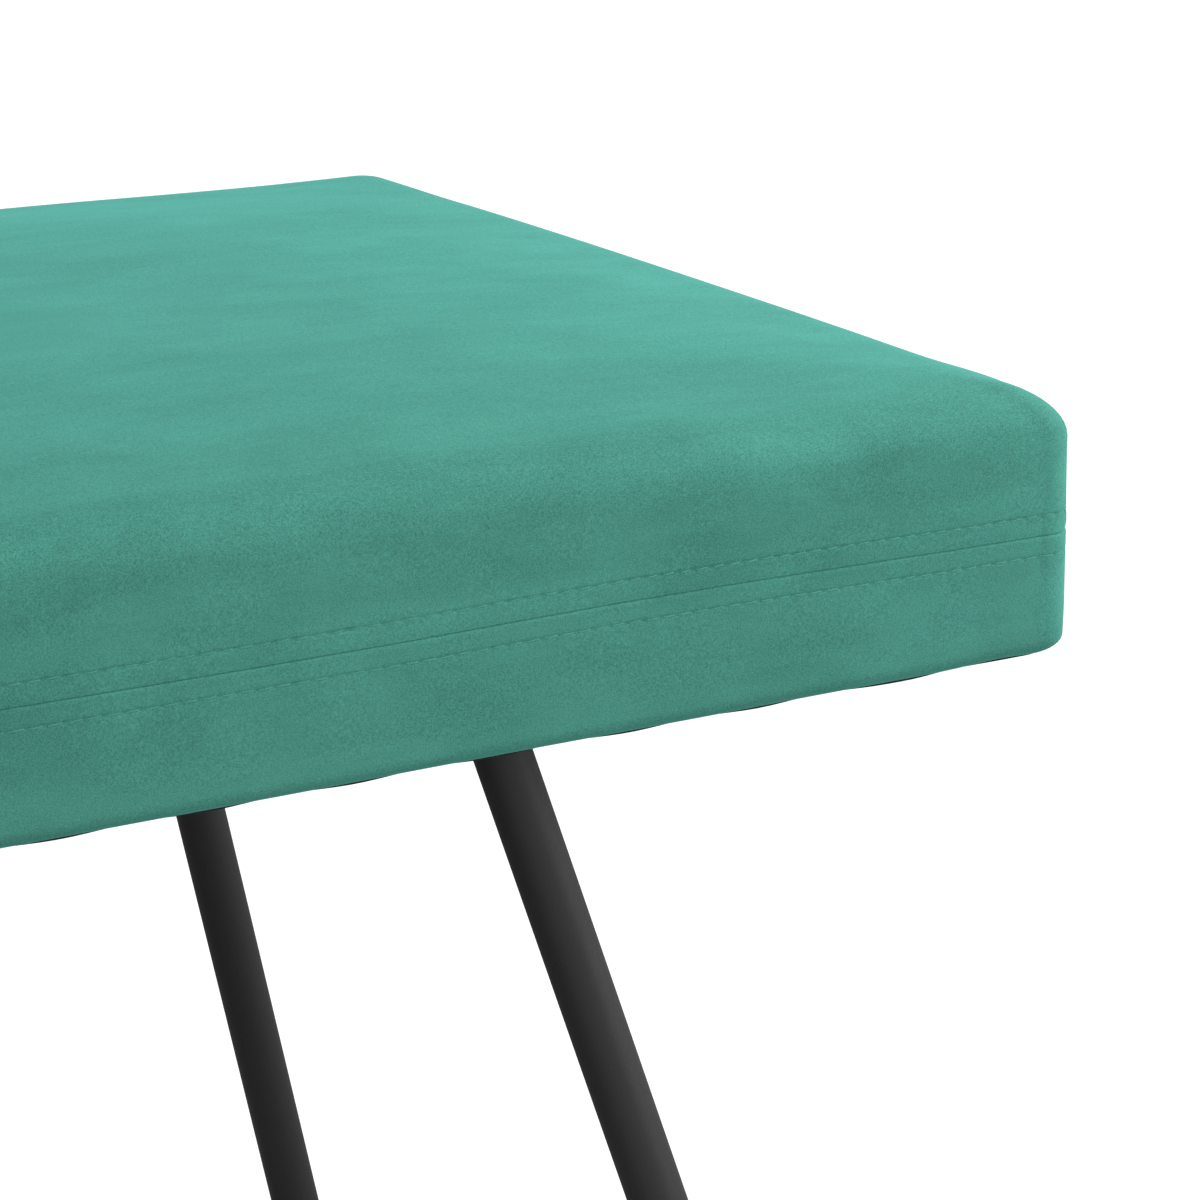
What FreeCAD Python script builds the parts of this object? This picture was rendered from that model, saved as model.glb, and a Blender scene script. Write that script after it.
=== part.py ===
import FreeCAD, Part
import math
import os

os.makedirs("parts", exist_ok=True)

V = FreeCAD.Vector

# ---------------------------------------------------------------------------
# Upholstered bench.  Millimetres, +Z up, +X along the length, front is -Y,
# origin on the floor under the middle of the bench.
# ---------------------------------------------------------------------------

# overall
LENGTH = 1100.0            # over the velvet, along X
DEPTH = 480.0              # over the velvet, along Y
HEIGHT = 450.0             # floor to the top of the seat
PAD_T = 90.0               # thickness of the upholstered pad
PAD_Z0 = HEIGHT - PAD_T    # underside of the turned-under velvet

# velvet cover
VELVET = 1.5               # velvet with its backing
R_TOP = 24.0               # rounding of the top edges
R_CORNER = 15.0            # rounding of the upright corners
R_BOTTOM = 6.0             # rounding of the lower edges
SEAM_Z = PAD_Z0 + 43.4     # seam between cap and side band
STITCH_OFF = 6.9           # topstitch rows above and below the seam
THREAD = 0.6               # topstitch thread
FLANGE = 30.0              # width of velvet turned under the frame

# padding
SOFT_GAP = 0.2             # clearance between rounded soft layers
WADDING_TOP = 7.0
SIDE_BUILD = 6.5           # velvet + wadding beside the frame

# wooden frame
BOARD_T = 9.0
RAIL_T = 25.0
RAIL_H = 30.0
CROSS_W = 90.0
CENTRE_W = 45.0
BLOCK = 40.0
BLOCK_H = 28.0

# dust cover and staples
DUST_T = 0.8
DUST_INSET = 7.0
STAPLE_PITCH = 47.8
STAPLE_CROWN = 10.0
STAPLE_WIRE_W = 1.2
STAPLE_WIRE_T = 0.6
STAPLE_LEG = 8.0
FIT = 0.05                 # clearance round staples and screws

# legs
TUBE_R = 10.0
TUBE_WALL = 1.5
LEG_X = 378.0              # leg axis at the underside plane
LEG_Y = 138.7
SPLAY_X = 0.277            # outward run per unit of drop
SPLAY_Y = 0.166
PLATE = 75.0
PLATE_T = 3.0
PLATE_R = 8.0
BOLT_PITCH = 50.0
BOLT_R = 3.0
BOLT_LEN = 24.0
PLATE_HOLE_R = 3.4
WASHER_R = 6.5
WASHER_T = 1.2
HEAD_R = 5.25
HEAD_H = 3.3
INSERT_R = 5.0
INSERT_LEN = 15.0
CAP_R = 10.8               # head of the plug, a little proud of the tube
CAP_FLOOR = 4.5            # the tube ends at this level, on the head
PLUG_R = 8.4               # plug inside the tube
PLUG_RIB_R = 8.5           # its ribs grip the bore
PLUG_LEN = 20.0

# derived levels
FRAME_Z0 = PAD_Z0 + VELVET             # bottom of the outer rails
FRAME_Z1 = FRAME_Z0 + RAIL_H           # top of the rails
BOARD_Z1 = FRAME_Z1 + BOARD_T          # top of the board
FRAME_L = LENGTH - 2 * SIDE_BUILD
FRAME_D = DEPTH - 2 * SIDE_BUILD
FRAME_R = R_CORNER - SIDE_BUILD
DUST_Z0 = PAD_Z0 - DUST_T
PLATE_Z1 = DUST_Z0
PLATE_Z0 = PLATE_Z1 - PLATE_T


def box(x0, y0, z0, x1, y1, z1):
    return Part.makeBox(x1 - x0, y1 - y0, z1 - z0, V(x0, y0, z0))


def round_rect(lx, ly, r, z0, z1):
    """Rounded rectangle prism centred on the origin."""
    b = box(-lx / 2, -ly / 2, z0, lx / 2, ly / 2, z1)
    if r <= 0:
        return b
    edges = [e for e in b.Edges
             if abs(e.Vertexes[0].Z - e.Vertexes[1].Z) > (z1 - z0) * 0.9]
    return b.makeFillet(r, edges)


def pad_form(inset, z0, z1, r_top, r_bot):
    """Rounded block: plan rounding first, then the top and bottom edges."""
    s = round_rect(LENGTH - 2 * inset, DEPTH - 2 * inset, R_CORNER - inset, z0, z1)
    if r_top > 0:
        s = s.makeFillet(r_top, [e for e in s.Edges
                                 if all(abs(v.Z - z1) < 1e-6 for v in e.Vertexes)])
    if r_bot > 0:
        s = s.makeFillet(r_bot, [e for e in s.Edges
                                 if all(abs(v.Z - z0) < 1e-6 for v in e.Vertexes)])
    return s


def group(shapes):
    return Part.Compound(shapes)


def export(name, shape):
    n = len(shape.Solids)
    ok = shape.isValid()
    bb = shape.BoundBox
    print(f"{name:24s} solids {n:3d} valid {ok} vol {shape.Volume/1000:10.2f} cm3 "
          f"z {bb.ZMin:7.2f}..{bb.ZMax:7.2f} x {bb.XMin:8.2f}..{bb.XMax:8.2f} "
          f"y {bb.YMin:8.2f}..{bb.YMax:8.2f}")
    if n == 1 and shape.ShapeType != "Solid":
        shape = shape.Solids[0]
    shape.exportStep(f"parts/{name}.step")


def as_solid(shape):
    return shape.Solids[0] if len(shape.Solids) == 1 else shape


# ---------------------------------------------------------------------------
# fasteners
# ---------------------------------------------------------------------------

def wood_screw(tip, direction, length, shank_r, head_r, grow=0.0):
    """Countersunk wood screw; head face at tip + direction * length."""
    r = shank_r + grow
    hr = head_r + grow
    head_h = head_r - shank_r
    p = [V(0, 0, 0), V(r, 0, shank_r * 2.2), V(r, 0, length - head_h - 0.3),
         V(hr, 0, length - 0.3), V(hr, 0, length), V(0, 0, length)]
    face = Part.Face(Part.makePolygon(p + [p[0]]))
    s = face.revolve(V(0, 0, 0), V(0, 0, 1), 360)
    if grow == 0.0:
        w, d = 0.9, 1.7
        arm = head_r * 0.62
        s = s.cut(box(-arm, -w / 2, length - d, arm, w / 2, length + 1))
        s = s.cut(box(-w / 2, -arm, length - d, w / 2, arm, length + 1))
    rot = FreeCAD.Rotation(V(0, 0, 1), direction)
    s = as_solid(s)
    s.Placement = FreeCAD.Placement(tip, rot)
    return s


def staple(cx, cy, z_low, along_x, grow=0.0):
    """Wire staple: crown lies from z_low up, two legs point up."""
    c = STAPLE_CROWN / 2
    w = STAPLE_WIRE_W / 2
    t = STAPLE_WIRE_T
    g = grow
    z1 = z_low + t
    if along_x:
        crown = box(cx - c - g, cy - w - g, z_low - g, cx + c + g, cy + w + g, z1 + g)
        l1 = box(cx - c - g, cy - w - g, z_low - g, cx - c + t + g, cy + w + g, z1 + STAPLE_LEG + g)
        l2 = box(cx + c - t - g, cy - w - g, z_low - g, cx + c + g, cy + w + g, z1 + STAPLE_LEG + g)
    else:
        crown = box(cx - w - g, cy - c - g, z_low - g, cx + w + g, cy + c + g, z1 + g)
        l1 = box(cx - w - g, cy - c - g, z_low - g, cx + w + g, cy - c + t + g, z1 + STAPLE_LEG + g)
        l2 = box(cx - w - g, cy + c - t - g, z_low - g, cx + w + g, cy + c + g, z1 + STAPLE_LEG + g)
    return as_solid(crown.fuse([l1, l2]).removeSplitter())


def staple_sites(inset, half_step):
    """Positions round the underside, (x, y, along_x)."""
    out = []
    y = DEPTH / 2 - inset
    x = LENGTH / 2 - inset
    if half_step:
        xs = [STAPLE_PITCH * (k + 0.5) for k in range(11)]
        xs = [-v for v in reversed(xs)] + xs
        ys = [STAPLE_PITCH * k for k in range(-4, 5)]
    else:
        xs = [STAPLE_PITCH * k for k in range(-10, 11)] + [-512.0, 512.0]
        ys = [STAPLE_PITCH * (k + 0.5) for k in range(-4, 4)]
    for s in (-1, 1):
        out += [(v, s * y, True) for v in xs]
        out += [(s * x, v, False) for v in ys]
    return out


# screws that hold the rails together: all run along Y from the outer faces
rail_screw_at = []
for sy in (-1, 1):
    for sx in (-1, 1):
        for z in (FRAME_Z0 + 8.0, FRAME_Z0 + 22.0):
            rail_screw_at.append((sx * (FRAME_L / 2 - RAIL_T / 2), sy, z))
        for dx in (-35.0, 35.0):
            rail_screw_at.append((sx * LEG_X + dx, sy, FRAME_Z0 + 16.0))
    for dx in (-12.0, 12.0):
        rail_screw_at.append((dx, sy, FRAME_Z0 + 16.0))
RAIL_SCREW_L = 70.0


def rail_screw_set(grow):
    out = []
    for x, sy, z in rail_screw_at:
        tip = V(x, sy * (FRAME_D / 2 - RAIL_SCREW_L), z)
        out.append(wood_screw(tip, V(0, sy, 0), RAIL_SCREW_L, 2.2, 4.2, grow))
    return out


board_screw_at = []
for sy in (-1, 1):
    for x in (-506.0, -450.0, -300.0, -170.0, 0.0, 170.0, 300.0, 450.0, 506.0):
        board_screw_at.append((x, sy * (FRAME_D / 2 - RAIL_T / 2)))
for x in (-(FRAME_L / 2 - RAIL_T / 2), FRAME_L / 2 - RAIL_T / 2):
    board_screw_at += [(x, -80.0), (x, 80.0)]
for x in (-LEG_X, 0.0, LEG_X):
    board_screw_at += [(x, -70.0), (x, 70.0)]
BOARD_SCREW_L = 30.0


def board_screw_set(grow):
    return [wood_screw(V(x, y, BOARD_Z1 - BOARD_SCREW_L), V(0, 0, 1),
                       BOARD_SCREW_L, 1.8, 3.8, grow) for x, y in board_screw_at]


cover_staple_at = staple_sites(15.0, False)
dust_staple_at = staple_sites(22.0, True)
COVER_CROWN_Z = PAD_Z0 + 0.1            # crowns pressed into the velvet
DUST_CROWN_Z = DUST_Z0 - STAPLE_WIRE_T  # crowns lie on the dust cover


def cover_staple_set(grow):
    return [staple(x, y, COVER_CROWN_Z, a, grow) for x, y, a in cover_staple_at]


def dust_staple_set(grow):
    return [staple(x, y, DUST_CROWN_Z, a, grow) for x, y, a in dust_staple_at]


# ---------------------------------------------------------------------------
# legs
# ---------------------------------------------------------------------------
corners = {"front_left": (-1, -1), "front_right": (1, -1),
           "rear_left": (-1, 1), "rear_right": (1, 1)}


def leg_axis_point(sx, sy, z):
    drop = PAD_Z0 - z
    return V(sx * (LEG_X + SPLAY_X * drop), sy * (LEG_Y + SPLAY_Y * drop), z)


def leg_dir(sx, sy):
    """Unit vector up the leg."""
    d = V(-sx * SPLAY_X, -sy * SPLAY_Y, 1.0)
    d.normalize()
    return d


def leg_cylinder(sx, sy, r, z_from, z_to):
    p = leg_axis_point(sx, sy, z_from)
    q = leg_axis_point(sx, sy, z_to)
    return Part.makeCylinder(r, (q - p).Length, p, leg_dir(sx, sy))


def slab(z0, z1):
    return box(-700, -400, z0, 700, 400, z1)


plate_centre = {}
bolt_at = []
for name, (sx, sy) in corners.items():
    c = leg_axis_point(sx, sy, PLATE_Z0)
    cx, cy = round(c.x, 1), round(c.y, 1)
    plate_centre[name] = (cx, cy)
    for i in (-1, 1):
        for j in (-1, 1):
            bolt_at.append((cx + i * BOLT_PITCH / 2, cy + j * BOLT_PITCH / 2))

for name, (sx, sy) in corners.items():
    cx, cy = plate_centre[name]
    plate = round_rect(PLATE, PLATE, PLATE_R, PLATE_Z0, PLATE_Z1)
    plate.translate(V(cx, cy, 0))
    for i in (-1, 1):
        for j in (-1, 1):
            plate = plate.cut(Part.makeCylinder(
                PLATE_HOLE_R, 20, V(cx + i * BOLT_PITCH / 2, cy + j * BOLT_PITCH / 2, PLATE_Z0 - 10)))
    plate = as_solid(plate)
    lower = [e for e in plate.Edges if all(abs(v.Z - PLATE_Z0) < 1e-6 for v in e.Vertexes)
             and e.BoundBox.DiagonalLength > PLATE_HOLE_R * 3]
    try:
        plate = as_solid(plate.makeChamfer(0.5, lower))
    except Exception as err:
        print("plate chamfer skipped", err)
    export("leg_plate_" + name, plate)

    # round tube, cut level under the plate and level above the cap floor,
    # with the fillet weld that joins it to the plate
    outer = leg_cylinder(sx, sy, TUBE_R, -30.0, PLATE_Z0 + 30.0)
    inner = leg_cylinder(sx, sy, TUBE_R - TUBE_WALL, -40.0, PLATE_Z0 + 40.0)
    weld = Part.makeCone(TUBE_R + 0.2, TUBE_R + 3.6, 3.4,
                         leg_axis_point(sx, sy, PLATE_Z0 - 3.1), V(0, 0, 1))
    body = outer.fuse(weld).cut(inner).common(slab(CAP_FLOOR, PLATE_Z0))
    tube = as_solid(body.removeSplitter())
    export("leg_tube_" + name, tube)

    # plastic foot: a low head with a level sole under the tube, and a ribbed
    # plug up the bore
    axis = leg_dir(sx, sy)
    foot = leg_axis_point(sx, sy, 0.0)
    head = leg_cylinder(sx, sy, CAP_R, -20.0, 20.0).common(slab(0.0, CAP_FLOOR))
    plug = Part.makeCylinder(PLUG_R, PLUG_LEN, foot, axis)
    nose = [e for e in plug.Edges if (e.CenterOfMass - (foot + axis * PLUG_LEN)).Length < 1e-3]
    plug = plug.makeChamfer(1.0, nose)
    for h in (9.0, 12.5, 16.0):
        plug = plug.fuse(Part.makeCylinder(PLUG_RIB_R, 1.2, foot + axis * h, axis))
    plug = plug.common(slab(CAP_FLOOR - 1.0, 100.0))
    cap = as_solid(head.fuse(plug).removeSplitter())
    sole = [e for e in cap.Edges if abs(e.BoundBox.ZMax) < 1e-4]
    try:
        cap = as_solid(cap.makeChamfer(0.6, sole))
    except Exception as err:
        print("cap chamfer skipped", err)
    export("foot_cap_" + name, cap)

washers, bolts, inserts = [], [], []
for x, y in bolt_at:
    w = Part.makeCylinder(WASHER_R, WASHER_T, V(x, y, PLATE_Z0 - WASHER_T))
    w = w.cut(Part.makeCylinder(BOLT_R + 0.2, 10, V(x, y, PLATE_Z0 - 5)))
    washers.append(as_solid(w))
    zh = PLATE_Z0 - WASHER_T
    head = Part.makeCylinder(HEAD_R, HEAD_H, V(x, y, zh - HEAD_H))
    head = head.makeFillet(2.2, [e for e in head.Edges
                                 if abs(e.BoundBox.ZMax - (zh - HEAD_H)) < 1e-4])
    shank = Part.makeCylinder(BOLT_R, BOLT_LEN, V(x, y, zh))
    hexr = 2.0 / math.cos(math.pi / 6)
    pts = [V(x + hexr * math.cos(math.pi / 3 * k), y + hexr * math.sin(math.pi / 3 * k),
             zh - HEAD_H - 1) for k in range(6)]
    socket = Part.Face(Part.makePolygon(pts + [pts[0]])).extrude(V(0, 0, 3.2))
    bolts.append(as_solid(head.fuse(shank).removeSplitter().cut(socket)))
    ins = Part.makeCylinder(INSERT_R, INSERT_LEN, V(x, y, PAD_Z0))
    ins = ins.cut(Part.makeCylinder(BOLT_R + 0.05, 60, V(x, y, PAD_Z0 - 5)))
    inserts.append(as_solid(ins))
export("leg_washers", group(washers))
export("leg_bolts", group(bolts))
export("threaded_inserts", group(inserts))

# ---------------------------------------------------------------------------
# wooden frame
# ---------------------------------------------------------------------------
rail_screw_holes = group(rail_screw_set(FIT))
board_screw_holes = group(board_screw_set(FIT))
cover_staple_holes = group(cover_staple_set(FIT))
dust_staple_holes = group(dust_staple_set(FIT))


def near(holes, shape):
    """Only the cutters that reach this piece."""
    bb = shape.BoundBox
    return [s for s in holes.Solids if bb.intersect(s.BoundBox)]


def drilled(shape, *hole_sets):
    tools = []
    for h in hole_sets:
        tools += near(h, shape)
    return as_solid(shape.cut(tools)) if tools else shape


# outer outline with rounded corners, shared by the rails and the board
outline = round_rect(FRAME_L, FRAME_D, FRAME_R, FRAME_Z0, FRAME_Z1)
hx, hy = FRAME_L / 2, FRAME_D / 2
rails = {
    "rail_front": box(-hx, -hy, FRAME_Z0, hx, -hy + RAIL_T, FRAME_Z1).common(outline),
    "rail_rear": box(-hx, hy - RAIL_T, FRAME_Z0, hx, hy, FRAME_Z1).common(outline),
    "rail_left": box(-hx, -hy + RAIL_T, FRAME_Z0, -hx + RAIL_T, hy - RAIL_T, FRAME_Z1),
    "rail_right": box(hx - RAIL_T, -hy + RAIL_T, FRAME_Z0, hx, hy - RAIL_T, FRAME_Z1),
}
for n, s in rails.items():
    export(n, drilled(as_solid(s), rail_screw_holes, board_screw_holes,
                      cover_staple_holes, dust_staple_holes))

yi = hy - RAIL_T
insert_holes = group([Part.makeCylinder(INSERT_R + FIT, INSERT_LEN + FIT, V(x, y, PAD_Z0 - 1e-3))
                      for x, y in bolt_at])
bolt_holes = group([Part.makeCylinder(BOLT_R + 0.2, 40.0, V(x, y, PAD_Z0 - 15.0))
                    for x, y in bolt_at])
crosses = {
    "cross_rail_left": box(-LEG_X - CROSS_W / 2, -yi, PAD_Z0, -LEG_X + CROSS_W / 2, yi, FRAME_Z1),
    "cross_rail_centre": box(-CENTRE_W / 2, -yi, PAD_Z0, CENTRE_W / 2, yi, FRAME_Z1),
    "cross_rail_right": box(LEG_X - CROSS_W / 2, -yi, PAD_Z0, LEG_X + CROSS_W / 2, yi, FRAME_Z1),
}
for n, s in crosses.items():
    export(n, drilled(s, rail_screw_holes, board_screw_holes, insert_holes, bolt_holes))

# triangular glue blocks in the four inner corners
for n, (sx, sy) in corners.items():
    x, y = sx * (hx - RAIL_T), sy * yi
    z0 = FRAME_Z1 - BLOCK_H
    pts = [V(x, y, z0), V(x - sx * BLOCK, y, z0), V(x, y - sy * BLOCK, z0), V(x, y, z0)]
    blk = Part.Face(Part.makePolygon(pts)).extrude(V(0, 0, BLOCK_H))
    export("corner_block_" + n, drilled(as_solid(blk), rail_screw_holes))

board = round_rect(FRAME_L, FRAME_D, FRAME_R, FRAME_Z1, BOARD_Z1)
export("seat_board", drilled(board, board_screw_holes))

export("rail_screws", group(rail_screw_set(0.0)))
export("board_screws", group(board_screw_set(0.0)))

# ---------------------------------------------------------------------------
# padding
# ---------------------------------------------------------------------------
W_IN = VELVET + SOFT_GAP                   # outer face of the wadding
pad_top_in = HEIGHT - W_IN - WADDING_TOP   # underside of the wadding, top layer
wad_outer = pad_form(W_IN, FRAME_Z0, HEIGHT - W_IN, R_TOP - W_IN, R_BOTTOM - W_IN)
wad_inner = round_rect(FRAME_L, FRAME_D, FRAME_R, FRAME_Z0 - 5, pad_top_in)
wad_inner = wad_inner.makeFillet(17.0, [e for e in wad_inner.Edges
                                        if all(abs(v.Z - pad_top_in) < 1e-6 for v in e.Vertexes)])
export("wadding_layer", as_solid(wad_outer.cut(wad_inner)))

foam = round_rect(FRAME_L - 2 * SOFT_GAP, FRAME_D - 2 * SOFT_GAP, FRAME_R, BOARD_Z1,
                  pad_top_in - SOFT_GAP)
foam = foam.makeFillet(17.0, [e for e in foam.Edges
                              if all(abs(v.Z - (pad_top_in - SOFT_GAP)) < 1e-6 for v in e.Vertexes)])
export("foam_pad", as_solid(foam))

# ---------------------------------------------------------------------------
# velvet cover: cap and side band, sewn at mid height
# ---------------------------------------------------------------------------
outer = pad_form(0.0, PAD_Z0, HEIGHT, R_TOP, R_BOTTOM)
cavity = pad_form(VELVET, PAD_Z0 + VELVET, HEIGHT - VELVET, R_TOP - VELVET, R_BOTTOM - VELVET)
mouth = round_rect(LENGTH - 2 * FLANGE, DEPTH - 2 * FLANGE, 2.0, PAD_Z0 - 5, PAD_Z0 + 10)
skin = outer.cut([cavity, mouth])


def thread_loop(z, depth, half):
    """Closed loop of thread let into the face of the cover."""
    a = round_rect(LENGTH + 2, DEPTH + 2, R_CORNER + 1, z - half, z + half)
    a = a.cut(round_rect(LENGTH - 2 * depth, DEPTH - 2 * depth, R_CORNER - depth, z - half - 1, z + half + 1))
    return a


def thread_ring(z):
    a = round_rect(LENGTH - 0.2, DEPTH - 0.2, R_CORNER - 0.1, z - THREAD / 2, z + THREAD / 2)
    b = round_rect(LENGTH - 0.2 - 2 * THREAD, DEPTH - 0.2 - 2 * THREAD, R_CORNER - 0.1 - THREAD,
                   z - THREAD, z + THREAD)
    return as_solid(a.cut(b))


groove_depth = THREAD + 0.15
cap = skin.common(slab(SEAM_Z, HEIGHT + 10)).cut(
    thread_loop(SEAM_Z + STITCH_OFF, groove_depth, THREAD / 2 + 0.05))
band = skin.common(slab(PAD_Z0 - 10, SEAM_Z)).cut(
    thread_loop(SEAM_Z - STITCH_OFF, groove_depth, THREAD / 2 + 0.05))
band = drilled(as_solid(band), cover_staple_holes, dust_staple_holes)
export("velvet_top_cover", as_solid(cap))
export("velvet_side_band", as_solid(band))
export("topstitch_upper", thread_ring(SEAM_Z + STITCH_OFF))
export("topstitch_lower", thread_ring(SEAM_Z - STITCH_OFF))

# ---------------------------------------------------------------------------
# underside
# ---------------------------------------------------------------------------
dust = round_rect(LENGTH - 2 * DUST_INSET, DEPTH - 2 * DUST_INSET, 8.0, DUST_Z0, PAD_Z0)
pierce = [Part.makeCylinder(BOLT_R + 0.2, 10, V(x, y, DUST_Z0 - 5)) for x, y in bolt_at]
dust = as_solid(dust.cut(pierce))
export("dust_cover", drilled(dust, dust_staple_holes))
export("cover_staples", group(cover_staple_set(0.0)))
export("dust_cover_staples", group(dust_staple_set(0.0)))

n_files = len([f for f in os.listdir("parts") if f.endswith(".step")])
print("step files", n_files)
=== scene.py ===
import math

import bpy
import numpy as np
from mathutils import Matrix, Vector


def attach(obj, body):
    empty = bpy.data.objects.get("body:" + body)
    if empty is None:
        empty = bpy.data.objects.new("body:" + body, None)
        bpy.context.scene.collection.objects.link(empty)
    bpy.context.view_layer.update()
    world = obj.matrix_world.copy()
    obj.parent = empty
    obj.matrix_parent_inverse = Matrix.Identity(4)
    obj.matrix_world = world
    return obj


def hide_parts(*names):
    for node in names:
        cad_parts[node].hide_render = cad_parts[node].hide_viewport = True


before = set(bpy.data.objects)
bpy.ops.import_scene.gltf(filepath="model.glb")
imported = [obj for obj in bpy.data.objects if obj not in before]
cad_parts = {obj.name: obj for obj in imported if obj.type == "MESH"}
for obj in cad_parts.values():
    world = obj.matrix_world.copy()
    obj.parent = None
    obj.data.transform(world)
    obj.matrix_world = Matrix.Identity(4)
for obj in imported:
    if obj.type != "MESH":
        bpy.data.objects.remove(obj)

bpy.context.view_layer.update()

MM = 0.001
SEED = 20417

# ---------------------------------------------------------------------------
# the pad, in millimetres (front is -Y, right is +X, floor is z 0)
# ---------------------------------------------------------------------------
HX, HY = 550.0, 240.0          # half length and half depth over the velvet
Z0 = 360.0                     # underside of the turned-under velvet
SEAM = 403.4                   # nominal level of the sewn seam
ROW_UP, ROW_DN = 6.77, -6.79   # topstitch rows above and below the seam
R_PLAN = 15.0                  # plan radius of the upright corners
PROF_Z0 = 431.0                # where the side starts to turn into the top
PROF_A, PROF_B = 29.0, 18.3    # width and height of that turn
PROF_N = 2.25                  # how square its shoulder is
TURN_A, TURN_B = 6.0, 6.4     # width and height of the turn on to the underside
CROWN = 10.0                   # rise of the middle over the rim
RIM_LONG = (-1.3, 3.4)         # rim height at the corners and its rise between them
RIM_SHORT = (0.25, 0.7)
SHOULDER = np.array([2.0, 2.4, 1.5, 0.5, 1.0, 1.2, 1.5, 1.8])
EARS = {(1, -1): (1.6, 30.0), (1, 1): (0.7, 20.0), (-1, -1): (1.5, 30.0), (-1, 1): (1.1, 22.0)}
CLOTH = 1.5                    # velvet with its backing
STAPLE = 47.8                  # staple pitch under the pad
N_STITCH = 522                 # stitches in each topstitch row


def smooth(e0, e1, x):
    t = np.clip((np.asarray(x, float) - e0) / (e1 - e0), 0.0, 1.0)
    return t * t * (3 - 2 * t)


class Perimeter:
    """Columns round a rounded rectangle, anticlockwise from the left end of the front."""

    def __init__(self, nx, ny, nc, gather=0.6):
        self.nx, self.ny, self.nc, self.k = nx, ny, nc, gather
        self.n = 2 * (nx + ny) + 4 * nc
        self.start = np.cumsum([0, nx, nc, ny, nc, nx, nc, ny, nc])[:8]
        self.length = 4 * (HX + HY) - 8 * R_PLAN + 2 * math.pi * R_PLAN

    def locate(self, c):
        """Part of the outline (0..7) and the fraction along it, for column numbers c."""
        c = np.mod(np.asarray(c, float), self.n)
        part = np.searchsorted(self.start, c, side="right") - 1
        size = np.array([self.nx, self.nc, self.ny, self.nc] * 2)[part]
        u = (c - self.start[part]) / size
        corner = part % 2 == 1
        u = np.where(corner, u + self.k / (2 * math.pi) * np.sin(2 * math.pi * u), u)
        return part, u

    def arc(self, c):
        """Arc length along the outer outline, from column 0."""
        part, u = self.locate(c)
        lx, ly, lc = 2 * (HX - R_PLAN), 2 * (HY - R_PLAN), math.pi / 2 * R_PLAN
        sizes = np.array([lx, lc, ly, lc] * 2)
        before = np.concatenate([[0], np.cumsum(sizes)[:-1]])
        return before[part] + u * sizes[part]

    def outline(self, c, inset, radius=None):
        """x, y and the outward normal on the outline moved inwards."""
        part, u = self.locate(c)
        inset = np.asarray(inset, float)
        r = np.maximum(R_PLAN - 0.40 * inset, 2.0) if radius is None else radius
        a, b = HX - inset, HY - inset
        ang0 = np.array([-math.pi / 2, -math.pi / 2, 0, 0, math.pi / 2, math.pi / 2,
                         math.pi, math.pi])[part]
        corner = part % 2 == 1
        ang = np.where(corner, ang0 + u * math.pi / 2, ang0)
        nx, ny = np.cos(ang), np.sin(ang)
        sx = np.array([0, 1, 1, 1, 0, -1, -1, -1])[part]
        sy = np.array([-1, -1, 0, 1, 1, 1, 0, -1])[part]
        cx = np.where(sx == 0, np.where(part == 0, 2 * u - 1, 1 - 2 * u), sx) * (a - r)
        cy = np.where(sy == 0, np.where(part == 2, 2 * u - 1, 1 - 2 * u), sy) * (b - r)
        return cx + r * nx, cy + r * ny, nx, ny

    def ring_to_patch(self):
        """Column number for each vertex on the border of the top patch, by side."""
        n, h = self.n, self.nc // 2
        front = np.arange(-h, self.nx + h + 1)
        right = np.arange(self.nx + h, self.nx + h + self.nc + self.ny + 1)
        rear = np.arange(right[-1], right[-1] + self.nc + self.nx + 1)
        left = np.arange(rear[-1], rear[-1] + self.nc + self.ny + 1)
        return front % n, right % n, rear[::-1] % n, left[::-1] % n


def wave(seed, s, length, longest, shortest, slope=1.0):
    """Smooth noise round a loop of that length, about -1 to 1, always the same."""
    rng = np.random.default_rng(SEED + seed)
    k0, k1 = max(1, int(length / longest)), int(length / shortest)
    ks = np.arange(k0, k1 + 1)
    amp = (k0 / ks) ** slope
    amp = amp / np.sqrt((amp ** 2).sum() / 2) / 1.6
    ph = rng.uniform(0, 2 * math.pi, len(ks))
    s = np.asarray(s, float)
    out = np.zeros_like(s)
    for k, a, p in zip(ks, amp, ph):
        out += a * np.sin(2 * math.pi * k * s / length + p)
    return out


def swell(seed, x, y, longest, shortest, count=26):
    """Smooth noise over a plane, about -1 to 1, always the same."""
    rng = np.random.default_rng(SEED + seed)
    x, y = np.asarray(x, float), np.asarray(y, float)
    out = np.zeros(np.broadcast(x, y).shape)
    for _ in range(count):
        lam = math.exp(rng.uniform(math.log(shortest), math.log(longest)))
        t, p = rng.uniform(0, 2 * math.pi, 2)
        out += (lam / longest) ** 0.5 * np.sin(
            2 * math.pi * (x * math.cos(t) + y * math.sin(t)) / lam + p)
    return out / math.sqrt(count / 2) / 1.1


BASE = Perimeter(356, 150, 16)
LOOP = BASE.length
FRONT0 = HX - R_PLAN           # arc length 0 is at x = -FRONT0 on the front


def arc_of_front(x):
    return x + FRONT0


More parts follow.
